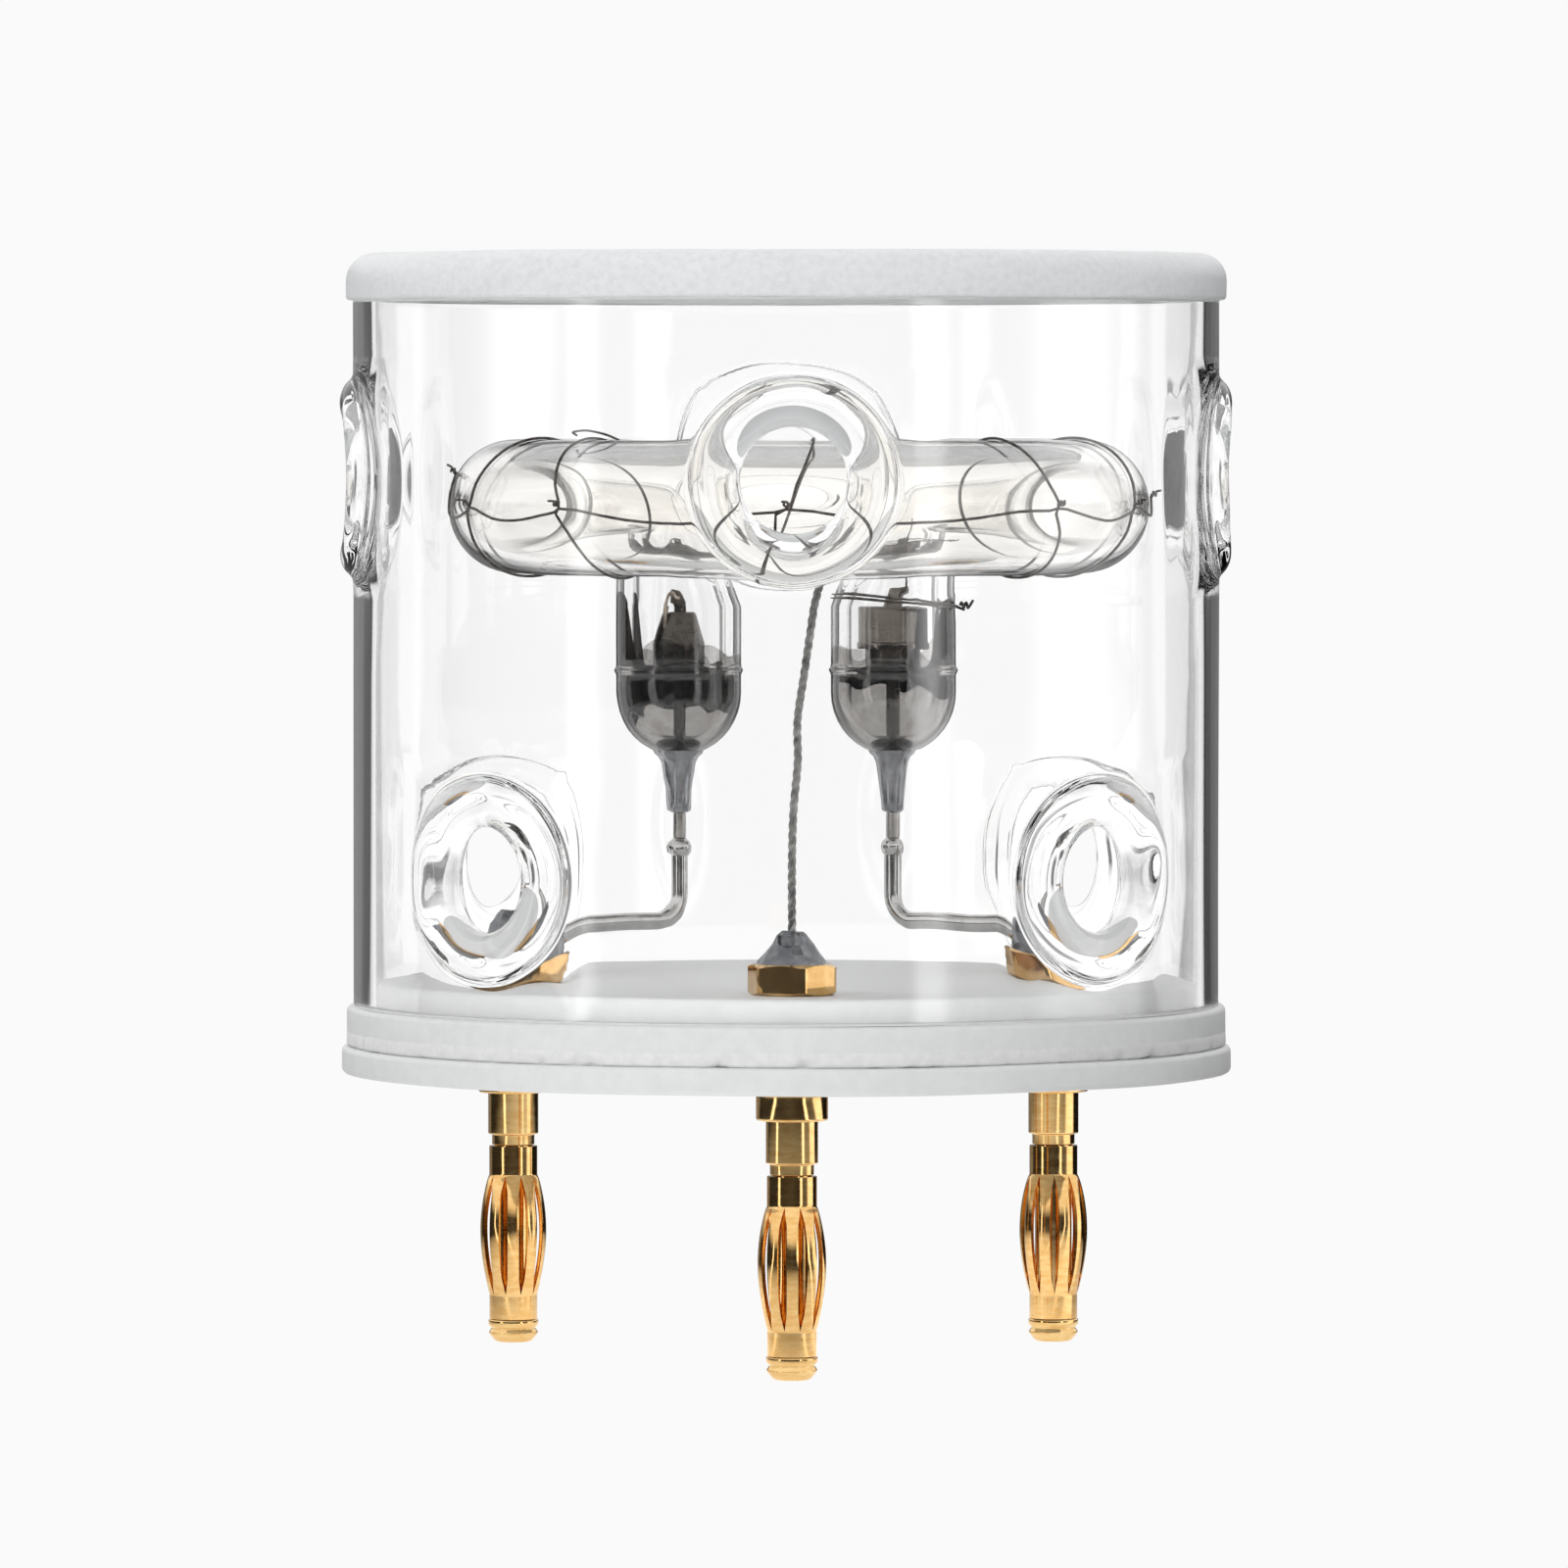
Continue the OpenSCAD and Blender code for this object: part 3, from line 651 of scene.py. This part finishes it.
cathode_low, cathode_high, cathode_mid = cad_box("cathode")
core_top = cathode_high.z
cup_z, cup_r, cup_h = core_top - 4.4, 2.5, 2.5
cathode = rounded(
    (0, cathode_low.z, 0), (0.5, cathode_low.z, 0.05), (0.5, leg_floor, 0), (0.5, cup_z - 2.4, 0),
    (cup_r - 0.5, cup_z - 2.4, 0.15), (cup_r - 0.5, cup_z - 0.5, 0.05),
    (cup_r + 0.1, cup_z - 0.5, 0.1), (cup_r + 0.1, cup_z, 0.1), (cup_r, cup_z, 0.05),
    (cup_r, cup_z + cup_h, 0.12), (cup_r - 0.35, cup_z + cup_h, 0.12),
    (cup_r - 0.35, cup_z + 0.35, 0.1), (0.7, cup_z + 0.35, 0.1), (0.7, core_top, 0.25), (0, core_top, 0),
    steps=3,
)
electrodes.append(
    place_mesh(
        "cathode_cup", *turned(cathode, (cathode_mid.x, cathode_mid.y, 0), sides=48), CUP, "tungsten",
        "cathode"
    )
)
# Ground rod: light and bright next to the sintered block.
PIN = grain(
    new_material("Tungsten rod, ground", "#b3b0ac", Metallic=1.0, Roughness=0.2), 1.2, ("#a8a5a1", "#bdbab6"),
    (0.16, 0.24)
)
for electrode in electrodes:
    electrode.data.materials.append(PIN)
    for face in electrode.data.polygons:
        face.material_index = int(face.center.z < leg_floor * MM)

# ---------------------------------------------------------------- leads
# Nickel wires welded under the pins. Each bends over and runs level to its terminal, where
# its end is pressed flat.

# Drawn wire: nearly a mirror, with long soft changes of gloss.
NICKEL = grain(
    new_material("Nickel wire, drawn", "#c6c5c3", Metallic=1.0, Roughness=0.12), 1.5, ("#bdbcba", "#cecdcb"),
    (0.09, 0.16)
)
PLUG_R, LEAD_R, LEAD_BEND = 22.1, 0.625, 1.9
for side, node, azimuth in ((-1, "left_lead", -120), (1, "right_lead", 120)):
    low, high, _ = cad_box(node)
    run_z = low.z + LEAD_R
    foot = Vector((seal_mid[side].x, seal_mid[side].y, 0))
    target = around(azimuth, PLUG_R)
    way = (target - foot).normalized()
    reach = (target - foot).length + LEAD_R
    path = [foot + UP * (high.z - 0.3 - 0.45 * k) for k in range(8)]
    path = [p for p in path if p.z > run_z + LEAD_BEND + 0.2]
    path += [
        foot + way * LEAD_BEND * (1 - math.cos(a)) + UP * (run_z + LEAD_BEND - LEAD_BEND * math.sin(a))
        for a in (math.radians(9 * k) for k in range(11))
    ]
    path += [
        foot + way * (LEAD_BEND + (reach - LEAD_BEND) * k / 10) + UP * (run_z + rough((k, side, 0), 3, 0.12))
        for k in range(1, 11)
    ]
    last = len(path) - 1
    pressed = lambda i, last=last: (1.15, 0.78) if i > last - 2 else (1.0, 1.0)
    wire = swept(path, LEAD_R, 24, flat=pressed)
    bead_z = high.z
    weld = [(0, bead_z), (0.5, bead_z - 0.02), (0.78, bead_z - 0.28), (0.86, bead_z - 0.62),
            (0.8, bead_z - 1.0),
            (0.62, bead_z - 1.3), (0, bead_z - 1.35)]
    bead = turned(weld, (foot.x, foot.y, 0), sides=32, wobble=lambda p, out: out * rough(p, 0.9, 0.12))
    place_mesh(node.replace("lead", "wire"), *join(wire, bead), NICKEL, "nickel", node, sharp=60)

# ---------------------------------------------------------------- terminals
# Brass hexagon nuts, chamfered on both faces, clamp the plugs' studs to the base. Each is
# covered with a lumpy cone of solder that holds its wire.

# Milled flats are mirror-bright under lacquer, with a light tarnish in patches.
BRASS = grain(
    new_material("Brass, milled and lacquered", "#d6ad72", Metallic=1.0, Roughness=0.05), 1.2,
    ("#c79d60", "#dbb47c"), (0.03, 0.08)
)
# Tin that set in lumps: dark and bright facets of about a millimetre.
SOLDER = grain(
    new_material("Tin solder, flowed by hand", "#77787b", Metallic=1.0, Roughness=0.12), 0.8,
    ("#6c6d71", "#88898b"), (0.08, 0.18)
)
nut_low, nut_high, _ = cad_box("terminal_nuts")
NUT_FLATS, NUT_TURN, BORE_R = 5.5, 13, 1.6
nut_shapes = []
for azimuth in (0, 120, -120):
    centre = around(azimuth, PLUG_R)
    rings = []
    for level in range(6):
        ring = []
        for i in range(72):
            turn = math.radians(5 * i)
            across = NUT_FLATS / 2 / math.cos((turn + math.pi / 6) % (math.pi / 3) - math.pi / 6)
            across = min(across, NUT_FLATS / math.sqrt(3) - 0.12)
            fall = max(0.0, across - NUT_FLATS / 2 * 0.97) * 0.55
            r, z = [(BORE_R, nut_low.z), (NUT_FLATS / 2 * 0.97, nut_low.z), (across, nut_low.z + fall),
                    (across, nut_high.z - fall), (NUT_FLATS / 2 * 0.97, nut_high.z),
                    (BORE_R, nut_high.z)][level]
            angle = turn + math.radians(NUT_TURN - 60)
            ring.append(centre + Vector((r * math.cos(angle), r * math.sin(angle), z)))
        rings.append(ring)
    nut_shapes.append(skin(rings, loop=True))
place_mesh("hexagon_nuts", *join(*nut_shapes), BRASS, "brass", "terminal_nuts", sharp=20)


def solder_lump(point, out):
    """Lumps and flat facets of solder that set as it was pulled up."""
    facet = Vector((round(point.x / 0.7), round(point.y / 0.7), round(point.z / 0.9)))
    return out * (rough(point, 1.2, 0.35) + rough(facet, 1.7, 0.34)) + UP * rough(point, 1.0, 0.15)


for node, azimuth in (("front_solder", 0), ("left_solder", -120), ("right_solder", 120)):
    low, high, _ = cad_box(node)
    tall = high.z - low.z
    cone = [(0, low.z), (2.3, low.z), (2.2, low.z + 0.18), (1.85, low.z + 0.3 * tall),
            (1.45, low.z + 0.6 * tall), (1.1, low.z + 0.9 * tall),
            (0.8, low.z + tall), (0, low.z + tall)]
    centre = around(azimuth, PLUG_R)
    place_mesh(
        node.replace("solder", "joint"), *turned(cone, centre, sides=26, wobble=solder_lump), SOLDER,
        "solder", node, sharp=14
    )

# ---------------------------------------------------------------- trigger wires
# A thin wire is wound once round the ring at five places, with a loose stretch between the
# turns, and knotted round the right leg.

# Oxidised in air: dark, with lighter rubbed places.
WIRE = grain(
    new_material("Nickel-chrome wire", "#5a5856", Metallic=1.0, Roughness=0.38), 0.7, ("#45423f", "#7c7874"),
    (0.3, 0.5)
)
WRAPS = (-66, -41, -2, 45, 68)
ENDS = (-84, 84)
WIRE_R, KNOT_R, WIRE_REST = 0.1, 0.085, 0.14
rest = TUBE_R + WIRE_REST


def on_tube(azimuth, turn, gap=0.0):
    """Point on the outside of the ring tube; turn is measured from its outer side, upwards."""
    a = math.radians(turn)
    return ring_point(azimuth, (rest + gap) * math.cos(a), (rest + gap) * math.sin(a))


route = [on_tube(ENDS[0], 30), on_tube(ENDS[0] + 3, 12)]
for k, wrap in enumerate(WRAPS):
    before = WRAPS[k - 1] if k else ENDS[0]
    for share in (0.3, 0.55, 0.8):
        sag = -14 * math.sin(math.pi * share) + rough((k, share, 2), 0.7, 10)
        route.append(on_tube(before + (wrap - before) * share, sag + 2, 0.12))
    lean = (3.5, -4, 5, -3.5, 4)[k]
    route += [on_tube(wrap - 1.2 + lean * math.sin(math.radians(a)), a) for a in range(0, 361, 20)]
route += [
    on_tube(WRAPS[-1] + (ENDS[1] - WRAPS[-1]) * share, -6, 0.1)
    for share in (0.4, 0.7)
] + [on_tube(ENDS[1], 8)]
wires = [swept(smooth_path(route, 3), WIRE_R, 8)]

knots = [on_tube(wrap - 1.1, 4, 0.05) for wrap in WRAPS] + [on_tube(ENDS[0], 30), on_tube(ENDS[1], 10)]
for number, knot in enumerate(knots):
    out = (knot - ring_point(WRAPS[number % 5] if number < 5 else ENDS[number - 5])).normalized()
    side = out.cross(UP).normalized()
    coil = [
        knot + out * (0.05 + 0.05 * k) + 0.16 * (
            math.cos(k * 1.3) * side + math.sin(k * 1.3) * out.cross(side)
        )
        for k in range(9)
    ]
    coil.append(coil[-1] + out * 0.35 + side * 0.3)
    wires.append(swept(smooth_path(coil, 3), KNOT_R, 7))

tail = [
    on_tube(-42, 104), on_tube(-43, 92, 0.25), on_tube(-46, 84, 0.55), on_tube(-49, 80, 0.5),
    on_tube(-50, 86, 0.2)
]
wires.append(swept(smooth_path(tail, 5), KNOT_R, 7))
leg_foot = Vector((seal_mid[1].x, seal_mid[1].y, 0))
loop_z = ring_z - ELBOW_R - LEG_R / 3
loop_r = LEG_R + WIRE_REST
leg_loop = [
    leg_foot + Vector(
        (
            loop_r * math.cos(a), loop_r * math.sin(a),
            loop_z - math.tan(math.radians(8)) * loop_r * math.cos(a) + 0.25 * math.sin(a * 0.5)
        )
    )
    for a in (math.radians(k) for k in range(-10, 711, 12))
]
leg_loop.append(leg_loop[-1] + Vector((0.5, -0.4, -0.2)))
wires.append(swept(leg_loop, WIRE_R, 8))
knot = leg_foot + Vector((loop_r + 0.1, -0.4, loop_z - 0.55))
tie = [
    knot + Vector((0.1 + 0.07 * k, 0.2 * math.cos(k * 1.4), 0.2 * math.sin(k * 1.4)))
    for k in range(9)
] + [knot + Vector((1.0, -0.2, 0.35))]
wires.append(swept(smooth_path(tie, 3), WIRE_R, 7))
riser = [leg_foot + Vector((0.3, -loop_r - 0.05, loop_z + 0.1)),
         leg_foot + Vector((0.35, -loop_r - 0.3, loop_z + 1.8)),
         leg_foot + Vector((0.6, -loop_r - 0.5, ring_z - 3.4)),
         leg_foot + Vector((0.7, -loop_r - 0.7, ring_z - 1.5))]
wires.append(swept(smooth_path(riser, 6), WIRE_R, 8))
place_mesh("trigger_windings", *join(*wires), WIRE, "wire", "trigger_wire", sharp=70)

# ---------------------------------------------------------------- trigger lead
# Three twisted strands of tinned copper run from the front terminal up to the winding.
# The route is given as the share of the way up, the sideways offset and the bow.

# Tinned by dipping: dull grey, lighter on the crowns of the twist.
STRAND = grain(
    new_material("Tinned copper strand", "#8d8c8a", Metallic=1.0, Roughness=0.35), 0.7,
    ("#6d6c6a", "#b4b3b0"), (0.25, 0.45)
)
LEAD_ROUTE = ((0, 0, 0), (0.08, 0, 0), (0.2, 0, 0.1), (0.36, 0.1, 0.2), (0.5, 0.4, 0.2), (0.62, 0.4, 0.2),
              (0.76, 0.9, 0.1), (0.9, 1.4, 0), (1, 1.8, 0))
solder_top = cad_box("front_solder")[1].z
lead_start = Vector((0, -PLUG_R, solder_top - 0.8))
lead_finish = Vector((0, -ring_r - 0.6, ring_z - TUBE_R - 0.35))
lead_line = smooth_path(
    [lead_start + (lead_finish - lead_start) * s + Vector((x, y, 0)) for s, x, y in LEAD_ROUTE], 24
)
STRAND_PITCH, STRAND_COUNT, STRAND_R, STRAND_OFF = 2.1, 3, 0.15, 0.14
strands = []
for strand in range(STRAND_COUNT):
    line, run = [], 0.0
    for i, point in enumerate(lead_line):
        run += (point - lead_line[i - 1]).length if i else 0
        turn = 2 * math.pi * (run / STRAND_PITCH + strand / STRAND_COUNT)
        line.append(point + STRAND_OFF * Vector((math.cos(turn), math.sin(turn), 0)))
    strands.append(swept(line, STRAND_R, 7))
top = lead_line[-1]
tail = [top, top + Vector((0.2, -0.25, 0.35)), top + Vector((0.05, -0.3, 0.8)),
        top + Vector((-0.3, -0.1, 1.0)),
        top + Vector((-0.25, 0.1, 0.6)), top + Vector((0.1, -0.2, 0.45)), top + Vector((0.5, -0.25, 0.9))]
strands.append(swept(smooth_path(tail, 6), 0.12, 8))
place_mesh("trigger_strand", *join(*strands), STRAND, "wire", "trigger_lead", sharp=70)

# ---------------------------------------------------------------- plugs
# Turned brass, gold plated: shoulder, barrel, groove, core pin and a rounded tip, in one
# piece with the threaded stud that the nut pulls up through the base.

# Turned and then plated: bright gold with faint marks round the axis.
GOLD = grain(
    new_material("Brass, turned, gold plated", "#e8c080", Metallic=1.0, Roughness=0.1), 1.1,
    ("#dcb06e", "#ebc688"), (0.06, 0.13), stretch=(1, 1, 3)
)
plug_low, plug_high, _ = cad_box("front_plug")
cage_low, cage_high, _ = cad_box("front_cage")
SHOULDER_R, SHOULDER_H, BARREL_R, BARREL_H = 2.45, 2.1, 1.775, 2.95
GROOVE_R, CORE_R, TIP_R, TIP_H = 1.5, 1.3, 1.775, 1.6
barrel_z = -SHOULDER_H - BARREL_H
tip_top = plug_low.z + TIP_H
plug = rounded(
    (0, plug_high.z, 0), (1.5, plug_high.z, 0.2), (1.5, 0, 0), (SHOULDER_R, 0, 0.08),
    (SHOULDER_R, -SHOULDER_H, 0.18), (BARREL_R, -SHOULDER_H, 0.05),
    (BARREL_R, barrel_z, 0.12), (GROOVE_R, barrel_z, 0.08), (GROOVE_R, cage_high.z + 0.12, 0.05),
    (CORE_R, cage_high.z + 0.05, 0), (CORE_R, tip_top + 0.02, 0),
    (TIP_R, tip_top, 0.1), (TIP_R, tip_top - 0.35, 0.1), (TIP_R - 0.22, tip_top - 0.62, 0.1),
    (TIP_R, tip_top - 0.95, 0.15),
    (TIP_R * 0.72, plug_low.z, 0.5), (0, plug_low.z, 0), steps=4,
)
for node, azimuth in (("front_plug", 0), ("left_plug", -120), ("right_plug", 120)):
    place_mesh(
        node.replace("plug", "pin"), *turned(plug, around(azimuth, PLUG_R), sides=64), GOLD, "gold_plate",
        node, sharp=28
    )

# ---------------------------------------------------------------- spring cages
# Rolled and gold plated spring sheet: two bands joined by ten bowed leaves of even width, so
# that the slots open out towards the belly. Each cage turns freely on its core pin.

# Rolled sheet under the same plating, so slightly warmer and less even.
SPRING = grain(
    new_material("Spring bronze, rolled, gold plated", "#e9bd7c", Metallic=1.0, Roughness=0.1),
    0.9, ("#deae6a", "#edc586"), (0.06, 0.13), stretch=(1, 1, 3),
)
LEAVES, LEAF_W, UPPER_BAND, LOWER_BAND, LEAF_T, BAND_R, BELLY_R = 10, 0.8, 2.05, 1.75, 0.28, 1.7, 2.4
LEAF_CAMBER, SLOT_TAPER, SPAN = 0.05, 0.14, 6
spring_top, spring_low = cage_high.z - UPPER_BAND, cage_low.z + LOWER_BAND
heights = [cage_high.z, cage_high.z - 0.12, spring_top + 0.12]
heights += [spring_top - (spring_top - spring_low) * k / 40 for k in range(41)]
heights += [spring_low - 0.12, cage_low.z + 0.12, cage_low.z]


def leaf_share(z):
    """Share of the way down the leaves, from 0 at the upper band to 1 at the lower one."""
    return min(max((spring_top - z) / (spring_top - spring_low), 0.0), 1.0)


def leaf_point(centre, turn, c, z, inset):
    """Point of a leaf whose middle is turned by turn; c runs from -1 to 1 across it."""
    share = leaf_share(z)
    r = BAND_R + (BELLY_R - BAND_R) * math.sin(math.pi * share**0.9) ** 0.85
    open_share = min(1.0, min(share, 1 - share) / SLOT_TAPER) ** 0.7
    half = math.pi / LEAVES + (LEAF_W / 2 / r - math.pi / LEAVES) * open_share
    wall = LEAF_T if 0 < share < 1 else BAND_R - CORE_R - 0.05
    radius = r - LEAF_CAMBER * open_share * c * c - (wall if inset else 0)
    angle = turn + half * c
    return centre + Vector((radius * math.sin(angle), -radius * math.cos(angle), z))


for node, azimuth, body, rest_turn in (
    ("front_cage", 0, "front_spring", 0), ("left_cage", -120, "left_spring", 0),
    ("right_cage", 120, "right_spring", math.pi / LEAVES),
):
    centre = around(azimuth, PLUG_R)
    shapes = []
    for leaf in range(LEAVES):
        turn = rest_turn + 2 * math.pi * leaf / LEAVES
        across = [2 * c / SPAN - 1 for c in range(SPAN + 1)]
        points, faces = [], []
        for z in heights:
            points += [leaf_point(centre, turn, c, z, False) for c in across]
            points += [leaf_point(centre, turn, c, z, True) for c in reversed(across)]
        count = 2 * (SPAN + 1)
        for row, (z, below) in enumerate(zip(heights, heights[1:])):
            slotted = 0 < leaf_share(z) < 1 or 0 < leaf_share(below) < 1
            for k in range(count):
                if k in (SPAN, count - 1) and not slotted:
                    continue
                a, b = row * count + k, row * count + (k + 1) % count
                faces.append([a, b, b + count, a + count])
        for row in (0, len(heights) - 1):
            faces += [
                [row * count + k for k in (c, c + 1, count - 2 - c, count - 1 - c)]
                for c in range(SPAN)
            ]
        shapes.append((points, faces))
    place_mesh(
        node.replace("cage", "lantern"), *join(*shapes), SPRING, "gold_plate", node, body=body, sharp=35
    )

# ---------------------------------------------------------------- studio
# Plain pale floor that runs to the horizon, and soft light from all round. Between the light
# panels are darker gaps, on the floor too, so that glass and polished metal show their edges.
BACKDROP = "#fafafa"
CLEAR_LEVEL = 1.07  # light seen straight through the glass, which loses a little of it
INSIDE_GAIN = 1.25  # how much more light the matt pieces inside the glass get than those outside
FLOOR_GAP = 0.0002  # metres between the plug tips and the floor


def grey(level):
    """White light of a level."""
    return (level, level, level, 1.0)


def light_levels(tree, value, *stops):
    """Level of light for a direction or a distance, from (place, level) stops."""
    made = add_node(tree, "ShaderNodeValToRGB", {"Fac": value})
    steps = made.color_ramp.elements
    steps[0].position, steps[0].color = stops[0][0], grey(stops[0][1])
    steps[1].position, steps[1].color = stops[-1][0], grey(stops[-1][1])
    for at, level in stops[1:-1]:
        steps.new(at).color = grey(level)
    return made.outputs["Color"]


def between(tree, share, a, b, **settings):
    """Light that goes from a to b as share goes from 0 to 1."""
    return add_node(tree, "ShaderNodeMix", {0: share, 6: a, 7: b}, data_type="RGBA", **settings).outputs[2]


def studio_walls(tree, x, y):
    """Light from azimuth (x, y): through glass, in polish, in polish inside the glass, and on matt pieces."""
    forward = add_node(tree, "ShaderNodeMath", {0: y, 1: -1.0}, operation="MULTIPLY").outputs[0]
    azimuth = add_node(tree, "ShaderNodeMath", {0: x, 1: forward}, operation="ARCTAN2").outputs[0]
    folded = add_node(tree, "ShaderNodeMath", {0: azimuth, 1: math.pi / 4}, operation="PINGPONG").outputs[0]
    eighth = add_node(tree, "ShaderNodeMath", {0: folded, 1: math.pi / 4}, operation="DIVIDE").outputs[0]
    through = light_levels(
        tree, eighth, (0.0, CLEAR_LEVEL), (0.4, CLEAR_LEVEL), (0.43, 0.2), (0.54, 0.2), (0.57, CLEAR_LEVEL),
        (1.0, CLEAR_LEVEL)
    )
    wall = light_levels(
        tree, eighth, (0.0, 0.5), (0.1, 0.3), (0.2, 0.12), (0.4, 0.2), (0.5, 0.03), (0.57, 0.03), (0.63, 1.1),
        (1.0, 1.1)
    )
    whole = add_node(
        tree, "ShaderNodeMath", {0: azimuth, 1: 0.5 / math.pi, 2: 0.5}, operation="MULTIPLY_ADD"
    ).outputs[0]
    at = lambda degrees: 0.5 + degrees / 360
    mirrored = light_levels(
        tree, whole,
        (0.0, 0.25), (at(-130), 0.25), (at(-118), 0.03), (at(-62), 0.04), (at(-59), 2.5), (at(-54), 2.5),
        (at(-51), 0.05), (at(0), 0.08),
        (at(33), 0.03), (at(36), 2.5), (at(41), 2.5), (at(44), 0.13), (at(66), 0.2), (at(74), 1.7),
        (at(102), 1.7), (at(108), 0.01),
        (at(150), 0.01), (1.0, 0.25),
    )
    ahead = light_levels(
        tree, whole, (0.0, 0.0), (at(-100), 0.0), (at(-90), 1.0), (at(90), 1.0), (at(100), 0.0), (1.0, 0.0)
    )
    soft = light_levels(
        tree, whole,
        (0.0, 1.0), (at(-110), 0.6), (at(-60), 0.8), (at(-25), 1.35), (at(10), 1.35), (at(40), 0.35),
        (at(65), 0.02), (at(120), 0.02), (1.0, 1.0),
    )
    return through, mirrored, between(tree, ahead, wall, mirrored), soft


def by_ray(tree, shader, camera, glossy, through, inner, diffuse):
    """Mixes five light levels by the kind of ray that arrives."""
    kind = add_node(tree, "ShaderNodeLightPath").outputs
    level = between(tree, kind["Is Glossy Ray"], diffuse, glossy)
    bounced = add_node(
        tree, "ShaderNodeMath", {0: kind["Glossy Depth"], 1: 1.0}, operation="MINIMUM"
    ).outputs[0]
    refracted = between(tree, bounced, through, inner)
    level = between(tree, kind["Is Transmission Ray"], level, refracted)
    inside = add_node(
        tree, "ShaderNodeMath", {0: kind["Is Transmission Ray"], 1: INSIDE_GAIN, 2: 1.0},
        operation="MULTIPLY_ADD"
    ).outputs[0]
    lit = between(tree, 1.0, diffuse, inside, blend_type="MULTIPLY")
    scattered = add_node(
        tree, "ShaderNodeMath", {0: kind["Diffuse Depth"], 1: 1.0}, operation="MINIMUM"
    ).outputs[0]
    level = between(tree, scattered, level, lit)
    level = between(tree, kind["Is Camera Ray"], level, camera)
    return add_node(tree, shader, {"Color": level, "Strength": 1.0}).outputs[0]


FLOOR_SIZE = 40.0
floor_mesh = bpy.data.meshes.new("floor")
corners = ((-1, -1), (1, -1), (1, 1), (-1, 1))
floor_mesh.from_pydata(
    [(x * FLOOR_SIZE, y * FLOOR_SIZE, plug_low.z * MM - FLOOR_GAP) for x, y in corners], [], [(0, 1, 2, 3)]
)
floor = bpy.data.objects.new("floor", floor_mesh)
bpy.context.collection.objects.link(floor)
# Painted light: the floor is an emitter, not a lit matt surface. The camera sees it evenly pale. In polish it
# is bright near the plugs and shows light panels and gaps further out. Through glass it is plain near the
# unit. On matt pieces it gives soft light from below.
floor_glow = bpy.data.materials.new("Studio floor, glowing")
floor_glow.use_nodes = True
tree = floor_glow.node_tree
tree.nodes.clear()
spot = add_node(tree, "ShaderNodeTexCoord").outputs["Object"]
distance = add_node(tree, "ShaderNodeVectorMath", {0: spot}, operation="LENGTH").outputs["Value"]
x, y, _ = add_node(tree, "ShaderNodeSeparateXYZ", {0: spot}).outputs
through, mirrored, inner, soft = studio_walls(tree, x, y)
near_plugs = light_levels(tree, distance, (0.0, 0.0), (0.02, 0.0), (0.1, 1.0), (1.0, 1.0))
near_glass = light_levels(tree, distance, (0.0, 0.0), (0.2, 0.0), (0.5, 1.0), (1.0, 1.0))
near_edges = light_levels(tree, distance, (0.0, 0.0), (0.08, 0.0), (0.2, 1.0), (1.0, 1.0))
lit = by_ray(
    tree, "ShaderNodeEmission", linear(BACKDROP), between(tree, near_plugs, grey(1.3), mirrored),
    between(tree, near_glass, grey(CLEAR_LEVEL), through),
    between(tree, near_edges, grey(CLEAR_LEVEL), inner),
    between(tree, 0.6, grey(0.9), soft),
)
add_node(tree, "ShaderNodeOutputMaterial", {"Surface": lit})
floor_mesh.materials.append(floor_glow)

world = bpy.data.worlds.new("studio")
world.use_nodes = True
bpy.context.scene.world = world
sky = world.node_tree
sky.nodes.clear()
heading = add_node(sky, "ShaderNodeTexCoord").outputs["Generated"]
x, y, z = add_node(sky, "ShaderNodeSeparateXYZ", {0: heading}).outputs
rise = add_node(sky, "ShaderNodeMath", {0: z}, operation="ARCSINE").outputs[0]
height = add_node(
    sky, "ShaderNodeMath", {0: rise, 1: 1 / math.pi, 2: 0.5}, operation="MULTIPLY_ADD"
).outputs[0]
through, mirrored, inner, soft = studio_walls(sky, x, y)
above_plugs = light_levels(sky, height, (0.0, 0.0), (0.528, 0.0), (0.567, 1.0), (1.0, 1.0))
above_glass = light_levels(sky, height, (0.0, 0.0), (0.517, 0.0), (0.536, 1.0), (1.0, 1.0))
zenith = light_levels(sky, height, (0.0, 0.0), (0.58, 0.0), (0.8, 1.0), (1.0, 1.0))
lit = by_ray(
    sky, "ShaderNodeBackground", linear(BACKDROP), between(sky, above_plugs, mirrored, grey(1.2)),
    between(sky, above_glass, through, grey(CLEAR_LEVEL)),
    between(sky, above_glass, inner, grey(CLEAR_LEVEL)),
    between(sky, zenith, soft, grey(1.15)),
)
add_node(sky, "ShaderNodeOutputWorld", {"Surface": lit})

scene = bpy.context.scene
scene.view_settings.view_transform = "Standard"
scene.cycles.max_bounces = 32
scene.cycles.transmission_bounces = 32
scene.cycles.glossy_bounces = 8
scene.cycles.diffuse_bounces = 4
scene.cycles.caustics_reflective = True
scene.cycles.caustics_refractive = True

# ---------------------------------------------------------------- camera
# Long lens at the height of the upper vents, tipped down a little towards the base.
# The unit is turned by one degree.
EYE_DISTANCE, EYE_HEIGHT, EYE_TURN, EYE_PITCH, EYE_SHIFT = 830, 47.4, 1.0, 1.885, -0.154
turn = math.radians(EYE_TURN)
eye = bpy.data.cameras.new("camera")
eye.sensor_width, eye.lens = 36, 272.93
eye.clip_start, eye.clip_end = 0.05, 200
camera = bpy.data.objects.new("camera", eye)
bpy.context.collection.objects.link(camera)
camera.location = (Vector((-math.sin(turn), -math.cos(turn), 0)) * EYE_DISTANCE
                   + Vector((math.cos(turn), -math.sin(turn), 0)) * EYE_SHIFT + UP * EYE_HEIGHT) * MM
camera.rotation_euler = (math.radians(90 - EYE_PITCH), 0, -turn)
scene.camera = camera
